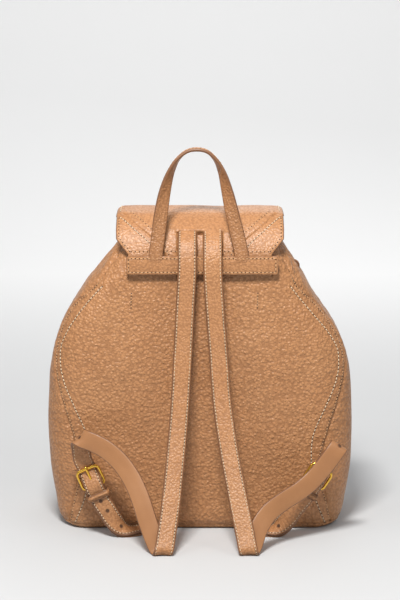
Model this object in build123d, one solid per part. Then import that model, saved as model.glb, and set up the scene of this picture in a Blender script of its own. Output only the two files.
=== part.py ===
from build123d import *
import math
import os

# Leather flap backpack: a drawstring body under a fold-over flap, with a top handle and two
# buckled shoulder straps lying on the ground behind it. Millimetres, +Z up. The origin is the
# centre of the flat base. The worn side (back panel and straps) faces -Y and the front +Y.

# ---------------------------------------------------------------- driving dimensions
LEATHER = 2.2            # thickness of the body panels
LINING = 0.8             # thickness of the cloth lining
LINING_GAP = 0.4         # space between the leather and the lining
RIM_Z = 286.0            # height where the body panels stop
BINDING_HEIGHT = 4.0     # edge binding above the panels
BASE_TURN_UP = 6.0       # how far the base panel turns up round the bottom edge

# Body sections: height, half width, back Y, front Y, corner radius.
BODY_ROWS = [
    (0.0, 136.0, -64.0, 62.0, 24.0),
    (3.0, 140.5, -69.0, 67.0, 28.0),
    (9.0, 143.0, -71.5, 70.0, 31.0),
    (30.0, 146.0, -72.0, 72.0, 34.0),
    (62.0, 148.5, -72.0, 74.0, 36.0),
    (95.0, 150.0, -72.0, 75.0, 37.0),
    (128.0, 149.0, -72.0, 73.0, 37.0),
    (161.0, 145.6, -72.0, 68.0, 36.0),
    (177.0, 141.3, -72.0, 64.0, 35.0),
    (193.0, 134.2, -71.5, 58.0, 34.0),
    (209.0, 124.0, -71.0, 50.0, 33.0),
    (225.0, 112.9, -70.5, 42.0, 32.0),
    (241.0, 103.4, -70.0, 33.0, 31.0),
    (255.0, 93.3, -69.5, 26.0, 30.0),
    (267.0, 84.5, -68.2, 24.0, 29.0),
    (280.0, 76.0, -62.5, 24.0, 27.0),
    (292.0, 74.0, -57.0, 24.0, 27.0),
]

# Half outline of the back and front panels, as (x, z), from the base up to the rim.
SEAM_HALF = [
    (133.0, -8.0),
    (125.6, 23.0),
    (116.5, 64.0),
    (124.6, 101.6),
    (140.0, 158.0),
    (131.5, 194.5),
    (96.3, 238.9),
    (82.0, 262.0),
    (66.0, 300.0),
]
BACK_CORNER_Y = -41.0    # the back panel lies behind this plane

FLAP_HALF_WIDTH = 80.0
FLAP_THICKNESS = 2.2
FLAP_LINING = 0.8
HINGE_Y = -41.0          # the flap folds along this line
HINGE_Z = 307.0          # at the outer face of the leather
HINGE_GAP = 0.4
FLAP_TIP_Z = 158.0
FLAP_TIP_RADIUS = 45.0

BAR_X = (-69.6, 73.8)    # reinforcement bar across the back
BAR_Z = (249.0, 266.7)
BAR_THICKNESS = 2.3
YOKE_FACE_Y = -72.6      # outer face of the yoke under the bar

HANDLE_WIDTH = 14.0
HANDLE_THICKNESS = 4.0
HANDLE_END_THICKNESS = 1.8

STRAP_WIDTH = 18.0
STRAP_THICKNESS = 3.0
TAIL_LIFT = 3.2          # tail centre above the centre of the lower strap
MAX_TURN = 40.0          # degrees that one lofted stretch of strap turns
HOLE_RADIUS = 1.8

WIRE = 1.3               # radius of the buckle wire
BUCKLE_HALF_WIDTH = 11.0
BAR_CLEARANCE = 0.15
PRONG_RADIUS = 1.0
PRONG_WIDTH = 2.4

CORD_RADIUS = 1.9
CORD_Z = 270.0
EYELET_X = 16.0

SNAP_Z = 186.0
SNAP_RADIUS = 8.5

os.makedirs("parts", exist_ok=True)


def save(shape, name):
    export_step(shape, "parts/" + name + ".step")


# ---------------------------------------------------------------- helpers
def body_row(z):
    """Half width, back, front and corner radius of the body at one height."""
    for low, high in zip(BODY_ROWS, BODY_ROWS[1:]):
        if z <= high[0]:
            t = (z - low[0]) / (high[0] - low[0])
            return [a + (b - a) * t for a, b in zip(low[1:], high[1:])]
    return list(BODY_ROWS[-1][1:])


def body_section(z, inset):
    """The body's rounded outline at one height, moved inward."""
    half, back, front, radius = body_row(z)
    width = 2 * (half - inset)
    depth = front - back - 2 * inset
    corner = max(radius - inset, 6.0)
    return Pos(0, (back + front) / 2, z) * RectangleRounded(width, depth, corner)


def body_solid(inset, bottom, top):
    """The body's volume between two heights, moved inward."""
    heights = [bottom]
    heights += [row[0] for row in BODY_ROWS if bottom + 1.5 < row[0] < top - 1.5]
    heights += [top]
    return loft([body_section(z, inset) for z in heights])


def back_y(z):
    return body_row(z)[1]


def front_y(z):
    return body_row(z)[2]


def slab(x0, x1, y0, y1, z0, z1):
    """A box between two corners."""
    size = Box(x1 - x0, y1 - y0, z1 - z0)
    return Pos((x0 + x1) / 2, (y0 + y1) / 2, (z0 + z1) / 2) * size


def seam_prism(y_far, y_near):
    """The panels' outline, run through the body from one plane to another."""
    right = Spline(*[(x, z) for x, z in SEAM_HALF])
    left = Spline(*[(-x, z) for x, z in reversed(SEAM_HALF)])
    top = Line(SEAM_HALF[-1], (-SEAM_HALF[-1][0], SEAM_HALF[-1][1]))
    bottom = Line((-SEAM_HALF[0][0], SEAM_HALF[0][1]), SEAM_HALF[0])
    outline = make_face(right + top + left + bottom)
    return extrude(Plane.XZ.offset(-y_near) * outline, y_near - y_far)


def profile_strip(points, thickness, x0, x1):
    """A sheet bent along a (y, z) line and run along X."""
    line = Spline(*points)
    samples = [i / 24 for i in range(25)]
    centre = [line @ s for s in samples]
    normal = [(line % s).rotate(Axis.Z, 90) for s in samples]
    upper = [c + n * (thickness / 2) for c, n in zip(centre, normal)]
    lower = [c - n * (thickness / 2) for c, n in zip(centre, normal)]
    edges = Spline(*upper) + Line(upper[-1], lower[-1])
    edges += Spline(*reversed(lower)) + Line(lower[0], upper[0])
    face = make_face(edges)
    return extrude(Plane.YZ.offset(x0) * face, x1 - x0)


def frames(stations):
    """Centre, width direction, normal and tangent at each (centre, width direction) station."""
    centres = [Vector(*c) for c, w in stations]
    result = []
    for i, (c, w) in enumerate(stations):
        before = centres[max(i - 1, 0)]
        after = centres[min(i + 1, len(stations) - 1)]
        into = (centres[i] - before).normalized() if i else (after - before).normalized()
        out = (after - centres[i]).normalized() if i + 1 < len(stations) else into
        tangent = (into + out).normalized()
        wide = Vector(*w)
        wide = (wide - tangent * wide.dot(tangent)).normalized()
        result.append((centres[i], wide, wide.cross(tangent), tangent))
    return result


def ribbon(stations, width, thickness, shift=0.0):
    """A flat strap through the stations; shift moves it along its own normal.

    Each stretch turns by less than MAX_TURN, and the stretches are joined end to end.
    """
    placed = frames(stations)
    stretches = [[0]]
    for i in range(1, len(placed)):
        stretches[-1].append(i)
        turned = placed[i][3].get_angle(placed[stretches[-1][0]][3])
        if turned > MAX_TURN and i + 1 < len(placed):
            stretches.append([i])
    solids = []
    for stretch in stretches:
        sections = []
        for i in stretch:
            centre, wide, normal, tangent = placed[i]
            plane = Plane(origin=centre + normal * shift, x_dir=wide, z_dir=tangent)
            sections.append(plane * Rectangle(width, thickness))
        solids.append(loft(sections, ruled=True))
    strap = solids[0]
    for solid in solids[1:]:
        strap += solid
    return strap


# ---------------------------------------------------------------- body panels
shell = body_solid(0.0, 0.0, RIM_Z) - body_solid(LEATHER, LEATHER, RIM_Z + 1)

back_region = seam_prism(-110.0, BACK_CORNER_Y)
front_profile = [(row[3] - row[4] + 1.0, row[0]) for row in BODY_ROWS if row[0] > 60]
front_profile = [(front_profile[0][0], -10.0)] + front_profile
front_profile += [(front_profile[-1][0], 320.0), (130.0, 320.0), (130.0, -10.0)]
front_side = extrude(
    Plane.YZ.offset(-200) * make_face(Polyline(*front_profile, close=True)), 400
)
front_region = seam_prism(-40.0, 130.0) & front_side
base_region = slab(-200, 200, -120, 120, -1, BASE_TURN_UP)
EYELET_HOLE = 3.4
eyelet_bores = [
    Pos(side * EYELET_X, front_y(CORD_Z) - 4, CORD_Z) * Rot(90, 0, 0) * Cylinder(EYELET_HOLE, 16)
    for side in (-1, 1)
]

base_panel = shell & base_region
walls = shell - base_region
back_panel = walls & back_region
front_panel = (walls & front_region) - eyelet_bores
sides = walls - back_region - front_region
gusset_left = sides & slab(-200, 0, -120, 120, 0, 320)
gusset_right = sides & slab(0, 200, -120, 120, 0, 320)

save(base_panel, "base_panel")
save(back_panel, "back_panel")
save(front_panel, "front_panel")
save(gusset_left, "side_gusset_left")
save(gusset_right, "side_gusset_right")

STIFFENER_Z = LEATHER + 0.3
STIFFENER = 2.0
stiffener_outline = body_section(STIFFENER_Z, LEATHER + 4.0)
save(extrude(stiffener_outline, STIFFENER), "base_stiffener")

lining_inset = LEATHER + LINING_GAP
lining_floor = STIFFENER_Z + STIFFENER + 0.3
lining = body_solid(lining_inset, lining_floor, RIM_Z)
lining -= body_solid(lining_inset + LINING, lining_floor + LINING, RIM_Z + 1)
lining -= eyelet_bores
save(lining, "lining")

binding = body_solid(0.0, RIM_Z, RIM_Z + BINDING_HEIGHT)
binding -= body_solid(lining_inset + LINING, RIM_Z - 1, RIM_Z + BINDING_HEIGHT + 1)
save(binding, "neck_binding")

# A flat open-topped pocket hangs inside against the lining of the back panel.
POCKET_X = (-61.0, 59.0)
POCKET_Z = (104.0, 232.0)
POCKET_Y = back_y(POCKET_Z[1]) + lining_inset + LINING + 0.6
POCKET_HEM = 12.0
pocket = slab(*POCKET_X, POCKET_Y, POCKET_Y + 1.0, POCKET_Z[0], POCKET_Z[1] - POCKET_HEM)
save(pocket, "inner_pocket")
hem = slab(*POCKET_X, POCKET_Y - 0.2, POCKET_Y + 1.4, POCKET_Z[1] - POCKET_HEM, POCKET_Z[1])
save(hem, "inner_pocket_hem")

# ---------------------------------------------------------------- drawstring
# The cord runs in a cloth channel inside the neck and comes out through two front eyelets.
CHANNEL_HALF = 8.0
channel_outer = lining_inset + LINING + 1.0
channel_low = CORD_Z - CHANNEL_HALF
channel_high = CORD_Z + CHANNEL_HALF
CHANNEL_DEPTH = 10.0
channel = body_solid(channel_outer, channel_low, channel_high)
channel -= body_solid(channel_outer + CHANNEL_DEPTH, channel_low - 1, channel_high + 1)
hollow = body_solid(channel_outer - 2, channel_low + 1, channel_high - 1)
hollow -= body_solid(channel_outer + CHANNEL_DEPTH - 1, channel_low, channel_high)
save(channel - hollow, "drawstring_channel")

cord_half, cord_back, cord_front, cord_corner = body_row(CORD_Z)
cord_inset = channel_outer + CHANNEL_DEPTH / 2 - 1.0
side_x = cord_half - cord_inset - 1.0
inner_front = cord_front - cord_inset
inner_back = cord_back + cord_inset + 1.0
CORD_END = [(10.0, 33.5, 258.0), (5.0, 39.5, 243.0), (5.0, 51.0, 219.5), (7.0, 54.2, 212.0)]


def cord_half_path(side):
    """Points from the middle of the back, round one side and out to the hanging end."""
    ring = [
        (side * side_x, inner_back, CORD_Z),
        (side * side_x, inner_front, CORD_Z),
        (side * EYELET_X, inner_front, CORD_Z),
        (side * EYELET_X, cord_front + 7.0, CORD_Z),
    ]
    return ring + [(side * x, y, z) for x, y, z in CORD_END]


CORD_RADII = [22.0, 14.0, 4.0, 5.0, 10.0, 12.0, 12.0]
cord_points = [(0.0, inner_back, CORD_Z)]
cord_halves = []
for side in (-1, 1):
    path = FilletPolyline(*(cord_points + cord_half_path(side)), radius=CORD_RADII)
    start = Plane(origin=path @ 0, z_dir=path % 0)
    cord_halves.append(sweep(start * Circle(CORD_RADIUS), path=path))
save(cord_halves[0] + cord_halves[1], "drawstring")

TIP_LENGTH = 10.0
tips = []
for side in (-1, 1):
    last = Vector(side * CORD_END[-1][0], *CORD_END[-1][1:])
    previous = Vector(side * CORD_END[-2][0], *CORD_END[-2][1:])
    plane = Plane(origin=last, z_dir=last - previous)
    tips.append(extrude(plane * Circle(CORD_RADIUS + 0.7), TIP_LENGTH))
save(Compound(children=tips), "drawstring_tips")

SLIDER_AT = (Vector(*CORD_END[1]) + Vector(*CORD_END[2])) * 0.5
slider_axis = (Vector(0, *CORD_END[2][1:]) - Vector(0, *CORD_END[1][1:])).normalized()
slider_plane = Plane(origin=(0, SLIDER_AT.Y, SLIDER_AT.Z), x_dir=(1, 0, 0), z_dir=slider_axis)
slider = slider_plane * Box(20, 7, 8)
for side in (-1, 1):
    slider -= slider_plane * Pos(side * CORD_END[1][0], 0, 0) * Cylinder(CORD_RADIUS + 0.35, 12)
save(slider, "drawstring_slider")

eyelets = []
wall_face = front_y(CORD_Z)
wall_depth = lining_inset + LINING
for side in (-1, 1):
    place = Pos(side * EYELET_X, wall_face, CORD_Z) * Rot(-90, 0, 0)
    tube = Pos(0, 0, -wall_depth / 2) * Cylinder(EYELET_HOLE - 0.1, wall_depth + 1.6)
    tube += Pos(0, 0, 0.45) * Cylinder(5.4, 0.8)
    tube += Pos(0, 0, -wall_depth - 0.45) * Cylinder(5.4, 0.8)
    eyelet = place * (tube - Cylinder(EYELET_HOLE - 0.7, 30))
    eyelets.append(eyelet - front_panel - lining)
save(Compound(children=eyelets), "eyelets")

# A small leather loop is sewn to the right side, just under the neck.
LOOP_AT = (94.5, -20.0, 251.3)
LOOP_RADIUS = 5.6
LOOP_LEATHER = 1.8
LOOP_WIDTH = 7.0
side_loop = Cylinder(LOOP_RADIUS, LOOP_WIDTH) - Cylinder(LOOP_RADIUS - LOOP_LEATHER, 20)
side_loop = Pos(*LOOP_AT) * Rot(90, 0, 0) * side_loop
save(side_loop - body_solid(0.0, 200.0, RIM_Z) - gusset_right, "side_loop")

# ---------------------------------------------------------------- yoke, bar and flap
YOKE_LINE = [(-71.3, 249.2), (-71.2, 262.0), (-66.8, 278.0), (-57.5, 292.5), (-41.0, 304.6)]
yoke = profile_strip(YOKE_LINE, 2.6, -FLAP_HALF_WIDTH, FLAP_HALF_WIDTH)
yoke_outline = Polyline(
    (-68.0, 240.0), (-68.0, 267.6), (-79.5, 281.0), (-80.0, 320.0),
    (80.0, 320.0), (80.5, 281.0), (69.0, 267.6), (69.0, 240.0), close=True,
)
yoke &= extrude(Plane.XZ.offset(0) * make_face(yoke_outline), 120)
yoke -= slab(-100, 100, HINGE_Y - HINGE_GAP / 2, 0, 280, 330)
save(yoke, "flap_yoke")

end_face = YOKE_FACE_Y - 0.1
bar_inner = end_face - HANDLE_END_THICKNESS - 0.1
bar_outer = bar_inner - BAR_THICKNESS
save(slab(*BAR_X, bar_outer, bar_inner, *BAR_Z), "back_bar")

FLAP_LINE = [
    (HINGE_Y, HINGE_Z - FLAP_THICKNESS / 2 - 0.1), (-22.0, 309.6), (8.0, 308.0), (30.0, 297.0),
    (42.0, 276.0), (49.5, 250.0), (58.5, 222.0), (68.5, 194.0), (75.5, 168.0), (77.0, 157.0),
]
flap_outline = Polyline(
    (-FLAP_HALF_WIDTH, 330.0), (-FLAP_HALF_WIDTH - 4, FLAP_TIP_Z),
    (FLAP_HALF_WIDTH + 4, FLAP_TIP_Z), (FLAP_HALF_WIDTH, 330.0), close=True,
)
flap_face = make_face(flap_outline)
flap_corners = [v for v in flap_face.vertices() if v.Y < FLAP_TIP_Z + 1]
flap_face = fillet(flap_corners, FLAP_TIP_RADIUS)
flap_prism = extrude(Plane.XZ.offset(-120) * flap_face, 240)
flap_start = slab(-100, 100, HINGE_Y + HINGE_GAP / 2, 120, 100, 330)
flap_width = FLAP_HALF_WIDTH + 6
flap = profile_strip(FLAP_LINE, FLAP_THICKNESS, -flap_width, flap_width) & flap_prism
save(flap & flap_start, "flap_main")

lining_drop = (FLAP_THICKNESS + FLAP_LINING) / 2


def inward(points, distance):
    """The (y, z) line moved toward the bag by a distance."""
    line = Spline(*points)
    moved = []
    for i in range(len(points) * 2):
        s = i / (len(points) * 2 - 1)
        moved.append(line @ s - (line % s).rotate(Axis.Z, 90) * distance)
    return [(p.X, p.Y) for p in moved]


flap_lining_line = inward(FLAP_LINE, lining_drop + 0.02)
flap_lining = profile_strip(flap_lining_line, FLAP_LINING, -flap_width, flap_width) & flap_prism
flap_lining &= slab(-76, 76, HINGE_Y + 2, 120, FLAP_TIP_Z + 4, 330)
flap_lining -= flap
save(flap_lining, "flap_lining")

# ---------------------------------------------------------------- magnetic snap
slope = (front_y(SNAP_Z + 6) - front_y(SNAP_Z - 6)) / 12
snap_normal = Vector(0, 1, -slope).normalized()
snap_origin = Vector(0, front_y(SNAP_Z), SNAP_Z)
snap_plane = Plane(origin=snap_origin, x_dir=(1, 0, 0), z_dir=snap_normal)
SOCKET = 4.0
STUD = 2.6
socket = snap_plane * Pos(0, 0, 0.3 + SOCKET / 2) * Cylinder(SNAP_RADIUS, SOCKET)
socket -= snap_plane * Pos(0, 0, SOCKET) * Cylinder(3.6, 4.0)
save(socket, "snap_socket")
stud_low = SOCKET + 0.7
stud = snap_plane * Pos(0, 0, stud_low + STUD / 2) * Cylinder(SNAP_RADIUS - 0.5, STUD)
stud += snap_plane * Pos(0, 0, stud_low - 0.6) * Cylinder(3.0, 1.6)
save(stud - flap_lining, "snap_stud")

# ---------------------------------------------------------------- top handle
HINGE_HANDLE_Z = BAR_Z[1] + 2.0
handle_y = bar_inner - 1.0
HANDLE_STATIONS = [
    ((-41.7, handle_y, HINGE_HANDLE_Z), (1.0, 0.0, 0.0)),
    ((-39.3, -73.2, 288.0), (1.0, 0.05, 0.05)),
    ((-36.4, -71.5, 311.0), (0.93, 0.35, 0.1)),
    ((-32.6, -69.5, 329.5), (0.75, 0.65, 0.2)),
    ((-27.6, -68.0, 344.5), (0.5, 0.86, 0.2)),
    ((-20.6, -66.5, 356.5), (0.25, 0.97, 0.1)),
    ((-12.0, -65.5, 363.5), (0.08, 1.0, 0.0)),
    ((-3.0, -65.2, 365.2), (0.0, 1.0, 0.0)),
    ((6.5, -65.5, 363.2), (-0.08, 1.0, 0.0)),
    ((14.6, -66.5, 355.8), (-0.25, 0.97, 0.1)),
    ((20.6, -68.0, 344.5), (-0.5, 0.86, 0.2)),
    ((25.2, -69.5, 329.5), (-0.75, 0.65, 0.2)),
    ((29.9, -71.5, 311.0), (-0.93, 0.35, 0.1)),
    ((35.4, -73.2, 288.0), (-1.0, 0.05, 0.05)),
    ((39.2, handle_y, HINGE_HANDLE_Z), (-1.0, 0.0, 0.0)),
]
save(ribbon(HANDLE_STATIONS, HANDLE_WIDTH, HANDLE_THICKNESS), "top_handle")
handle_ends = [
    slab(x - 7, x + 7, end_face - HANDLE_END_THICKNESS, end_face, BAR_Z[0] + 3, BAR_Z[1] + 0.2)
    for x in (HANDLE_STATIONS[0][0][0], HANDLE_STATIONS[-1][0][0])
]
save(Compound(children=[end - yoke for end in handle_ends]), "handle_ends")

# ---------------------------------------------------------------- shoulder straps
X_WIDE = (1.0, 0.0, 0.0)
# Each strap hangs from the yoke, folds back on the ground, climbs to an oblique fold, comes
# down through its buckle and ends as a tail on the lower strap.
LEFT = dict(
    run=[
        ((-12.0, -69.5, 286.5), X_WIDE),
        ((-12.0, -79.2, 273.0), X_WIDE),
        ((-12.0, -82.6, 258.0), X_WIDE),
        ((-13.8, -84.5, 225.0), X_WIDE),
        ((-16.2, -89.0, 178.0), X_WIDE),
        ((-18.8, -98.0, 132.0), X_WIDE),
        ((-22.6, -113.0, 87.6), (1.0, 0.0, -0.10)),
        ((-27.1, -133.0, 44.9), (1.0, 0.0, -0.12)),
        ((-31.4, -149.0, 16.0), (1.0, 0.0, -0.08)),
        ((-33.0, -154.6, 7.4), (1.0, 0.0, -0.02)),
        ((-34.2, -154.4, 4.6), (1.0, 0.0, 0.03)),
        ((-35.6, -151.6, 3.6), (1.0, 0.0, 0.08)),
        ((-37.2, -148.6, 5.0), (1.0, 0.0, 0.15)),
        ((-40.2, -146.0, 9.0), (1.0, 0.0, 0.26)),
        ((-48.2, -138.0, 27.5), (0.94, 0.0, 0.33)),
        ((-56.0, -128.5, 49.0), (0.92, 0.0, 0.38)),
        ((-63.8, -120.5, 64.5), (0.87, 0.0, 0.50)),
        ((-75.0, -113.0, 79.0), (0.74, 0.0, 0.67)),
        ((-88.0, -108.0, 89.5), (0.60, 0.0, 0.80)),
        ((-100.0, -105.0, 95.5), (0.54, 0.0, 0.84)),
    ],
    crest=[
        ((-108.0, -103.2, 98.2), (0.62, 0.0, 0.78)),
        ((-113.0, -99.0, 98.6), (0.70, 0.0, 0.71)),
        ((-114.0, -94.2, 94.5), (0.79, 0.0, 0.61)),
        ((-113.2, -91.2, 87.0), (0.88, 0.0, 0.46)),
    ],
    pivot=(-100.3, -92.6, 49.7),
    top=(-107.9, -93.6, 67.3),
    tail=[
        ((-88.7, -95.6, 27.6), (0.87, 0.10, 0.47)),
        ((-83.0, -95.2, 18.0), (0.78, 0.30, 0.55)),
        ((-76.0, -93.4, 10.2), (0.50, 0.75, 0.42)),
        ((-67.5, -89.5, 6.2), (-0.05, 0.99, 0.12)),
        ((-60.0, -84.5, 5.0), (-0.55, 0.83, 0.0)),
        ((-55.5, -80.5, 5.0), (-0.68, 0.73, 0.0)),
    ],
    anchor=[
        ((-51.9, -77.0, 5.0), (-0.84, 0.54, 0.0)),
        ((-50.6, -74.6, 5.0), (-0.90, 0.43, 0.0)),
    ],
)
RIGHT = dict(
    run=[
        ((12.0, -69.5, 286.5), X_WIDE),
        ((12.0, -79.2, 273.0), X_WIDE),
        ((12.0, -82.6, 258.0), X_WIDE),
        ((13.8, -84.5, 225.0), X_WIDE),
        ((17.4, -89.0, 178.0), X_WIDE),
        ((20.9, -98.0, 132.0), (1.0, 0.0, 0.10)),
        ((27.6, -113.0, 87.6), (1.0, 0.0, 0.17)),
        ((36.2, -133.0, 44.9), (1.0, 0.0, 0.20)),
        ((42.4, -149.0, 16.0), (1.0, 0.0, 0.16)),
        ((44.2, -154.6, 7.4), (1.0, 0.0, 0.08)),
        ((45.2, -154.4, 4.6), (1.0, 0.0, 0.0)),
        ((46.2, -151.6, 3.6), (1.0, 0.0, -0.08)),
        ((47.2, -148.6, 5.0), (1.0, 0.0, -0.20)),
        ((49.4, -146.0, 9.5), (1.0, 0.0, -0.36)),
        ((54.5, -139.5, 22.5), (0.86, 0.0, -0.50)),
        ((64.5, -130.0, 35.0), (0.62, 0.0, -0.79)),
        ((79.5, -120.5, 44.0), (0.44, 0.0, -0.90)),
        ((94.5, -112.5, 51.5), (0.52, 0.0, -0.85)),
        ((107.5, -107.5, 61.5), (0.69, 0.0, -0.72)),
        ((118.4, -104.8, 74.0), (0.80, 0.0, -0.60)),
    ],
    crest=[
        ((127.0, -102.8, 85.5), (0.81, 0.0, -0.59)),
        ((131.4, -99.0, 90.6), (0.82, 0.0, -0.57)),
        ((131.6, -94.2, 89.6), (0.83, 0.0, -0.55)),
        ((128.0, -91.2, 82.5), (0.84, 0.0, -0.53)),
    ],
    pivot=(106.9, -92.6, 51.8),
    top=(117.2, -93.6, 68.0),
    tail=[
        ((91.0, -95.6, 29.6), (0.82, -0.08, -0.56)),
        ((84.0, -95.2, 19.4), (0.74, -0.28, -0.60)),
        ((76.0, -93.4, 10.6), (0.50, -0.75, -0.42)),
        ((67.5, -89.5, 6.2), (-0.05, -0.99, -0.12)),
        ((60.0, -84.5, 5.0), (-0.55, -0.83, 0.0)),
        ((55.5, -80.5, 5.0), (-0.68, -0.73, 0.0)),
    ],
    anchor=[
        ((51.9, -77.0, 5.0), (-0.84, -0.54, 0.0)),
        ((50.6, -74.6, 5.0), (-0.90, -0.43, 0.0)),
    ],
)
# The strap's path at the buckle, as (along, out) from the pivot bar toward the top bar.
BUCKLE_PATH = [
    (28.5, -3.0), (20.5, -3.2), (16.5, -2.3), (4.5, 3.8), (0.0, 4.7), (-5.0, 3.6), (-14.0, TAIL_LIFT),
]
KEEPER_AT = -8.5
KEEPER_HEIGHT = 6.5
KEEPER_LEATHER = 1.4


def buckle_plane(side):
    """A plane at the pivot bar: X along the bar, Y toward the top bar, Z out of the strap."""
    pivot = Vector(*side["pivot"])
    along = (Vector(*side["top"]) - pivot).normalized()
    out = Vector(0, -1, 0)
    bar = along.cross(out).normalized()
    return Plane(origin=pivot, x_dir=bar, z_dir=bar.cross(along))


def local(plane, along, out):
    point = plane.from_local_coords(Vector(0, along, out))
    return (point.X, point.Y, point.Z)


def build_strap(side, name):
    plane = buckle_plane(side)
    wide = tuple(plane.x_dir)
    if wide[0] < 0:
        wide = tuple(-c for c in wide)
    through = [(local(plane, a, o), wide) for a, o in BUCKLE_PATH]
    stations = side["run"] + side["crest"] + through + side["tail"]
    strap = ribbon(stations, STRAP_WIDTH, STRAP_THICKNESS)

    # The prong's hole is a slot, and round holes follow at even spacing.
    strap -= plane * Pos(0, 8.4, 0) * Box(3.4, 13.5, 20)
    hole_spots = [through[-1], side["tail"][0], side["tail"][2]]
    everything = frames(stations)
    for spot in hole_spots:
        centre = Vector(*spot[0])
        match = min(everything, key=lambda f: (f[0] - centre).length)
        drill = Plane(origin=match[0], x_dir=match[1], z_dir=match[2])
        strap -= drill * Cylinder(HOLE_RADIUS, 8)
    save(strap, "shoulder_strap_" + name)

    # The lower strap lies under the tail and is folded round the pivot bar.
    straight = [(local(plane, a, TAIL_LIFT), wide) for a in (-1.4, -7.0, -14.0)]
    sign = 1.0 if frames(straight + side["tail"])[0][2].dot(plane.z_dir) > 0 else -1.0
    lower = ribbon(
        straight + side["tail"] + side["anchor"], STRAP_WIDTH, 2.8, shift=-TAIL_LIFT * sign
    )
    around = plane * Rot(0, 90, 0) * Cylinder(WIRE + BAR_CLEARANCE + 1.4, STRAP_WIDTH)
    lower += around
    lower -= plane * Rot(0, 90, 0) * Cylinder(WIRE + BAR_CLEARANCE, STRAP_WIDTH + 2)
    lower -= plane * Pos(0, 1.2, 0) * Box(PRONG_WIDTH + 1.2, 9.2, 8)
    save(lower, "lower_strap_" + name)

    length = (Vector(*side["top"]) - Vector(*side["pivot"])).length
    half = BUCKLE_HALF_WIDTH
    corners = [(0, 0), (half, 0), (half, length), (-half, length), (-half, 0), (0, 0)]
    ring = FilletPolyline(*corners[:-1], radius=[0.0, 1.6, 3.0, 3.0, 1.6], close=True)
    ring = plane * ring
    section = Plane(origin=ring @ 0, z_dir=ring % 0) * Circle(WIRE)
    save(sweep(section, path=ring), "buckle_frame_" + name)

    tip = length + 2.2
    rise = WIRE + PRONG_RADIUS + 0.3
    eye = Rot(0, 90, 0) * Cylinder(WIRE + 1.25, PRONG_WIDTH)
    shaft_start = Vector(0, 0.9, 1.1)
    shaft = Vector(0, tip, rise) - shaft_start
    shaft_plane = Plane(origin=shaft_start, x_dir=(1, 0, 0), z_dir=shaft)
    pin = extrude(shaft_plane * Circle(PRONG_RADIUS), shaft.length)
    prong = eye + pin - Rot(0, 90, 0) * Cylinder(WIRE + BAR_CLEARANCE, 6)
    save(plane * prong, "buckle_prong_" + name)

    low = -1.4 - 0.25
    high = TAIL_LIFT + 0.6 + STRAP_THICKNESS / 2 + 0.25
    inner = Box(STRAP_WIDTH + 0.6, KEEPER_HEIGHT + 2, high - low)
    outer = Box(
        STRAP_WIDTH + 0.6 + 2 * KEEPER_LEATHER, KEEPER_HEIGHT, high - low + 2 * KEEPER_LEATHER
    )
    keeper = plane * Pos(0, KEEPER_AT, (low + high) / 2) * (outer - inner)
    save(keeper, "keeper_loop_" + name)


build_strap(LEFT, "left")
build_strap(RIGHT, "right")
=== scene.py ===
import math
from bisect import bisect
from functools import lru_cache

import bpy
import numpy as np
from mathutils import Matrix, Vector, noise


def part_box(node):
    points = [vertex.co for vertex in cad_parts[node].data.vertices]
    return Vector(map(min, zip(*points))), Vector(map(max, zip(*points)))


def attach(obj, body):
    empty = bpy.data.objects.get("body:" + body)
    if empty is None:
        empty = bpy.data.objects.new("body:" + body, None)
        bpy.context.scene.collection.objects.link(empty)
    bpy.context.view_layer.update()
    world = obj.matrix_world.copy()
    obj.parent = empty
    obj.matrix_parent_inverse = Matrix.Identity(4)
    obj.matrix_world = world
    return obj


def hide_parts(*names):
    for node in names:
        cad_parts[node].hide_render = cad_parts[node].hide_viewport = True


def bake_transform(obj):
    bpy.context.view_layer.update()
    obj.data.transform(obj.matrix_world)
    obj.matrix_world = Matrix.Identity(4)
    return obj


# The leather backpack's looks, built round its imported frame. Lengths are in millimetres up to
# the moment that a mesh is made, and the frame's metres after it.
MM = 0.001

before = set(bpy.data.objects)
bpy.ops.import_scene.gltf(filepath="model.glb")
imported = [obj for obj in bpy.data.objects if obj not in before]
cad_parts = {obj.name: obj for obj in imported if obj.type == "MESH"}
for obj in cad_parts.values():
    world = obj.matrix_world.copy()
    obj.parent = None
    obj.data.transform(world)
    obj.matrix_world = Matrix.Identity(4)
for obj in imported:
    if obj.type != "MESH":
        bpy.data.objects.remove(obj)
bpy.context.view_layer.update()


def node_box(name):
    """A CAD node's corners in millimetres."""
    low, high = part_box(name)
    return np.array(low) / MM, np.array(high) / MM


# ---- sizes of the bag
# Body sections: height, half width, back Y, front Y, corner radius.
BODY_ROWS = np.array([
    (0.0, 136.0, -64.0, 62.0, 24.0), (3.0, 140.5, -69.0, 67.0, 28.0),
    (9.0, 143.0, -71.5, 70.0, 31.0), (30.0, 146.0, -72.0, 72.0, 34.0),
    (62.0, 148.5, -72.0, 74.0, 36.0), (95.0, 150.0, -72.0, 75.0, 37.0),
    (128.0, 149.0, -72.0, 73.0, 37.0), (161.0, 145.6, -72.0, 68.0, 36.0),
    (177.0, 141.3, -72.0, 64.0, 35.0), (193.0, 134.2, -71.5, 58.0, 34.0),
    (209.0, 124.0, -71.0, 50.0, 33.0), (225.0, 112.9, -70.5, 42.0, 32.0),
    (241.0, 103.4, -70.0, 33.0, 31.0), (255.0, 93.3, -69.5, 26.0, 30.0),
    (267.0, 84.5, -68.2, 24.0, 29.0), (280.0, 76.0, -62.5, 24.0, 27.0),
    (292.0, 74.0, -57.0, 24.0, 27.0),
])
# Half outline of the back and front panels: height and distance from the middle.
SEAM = np.array([
    (-8.0, 133.0), (23.0, 125.6), (64.0, 116.5), (101.6, 124.6), (130.0, 133.8),
    (158.0, 140.0), (176.0, 138.8), (194.5, 131.5), (215.8, 117.5), (238.9, 96.3),
    (262.0, 82.0), (300.0, 66.0),
])
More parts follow.
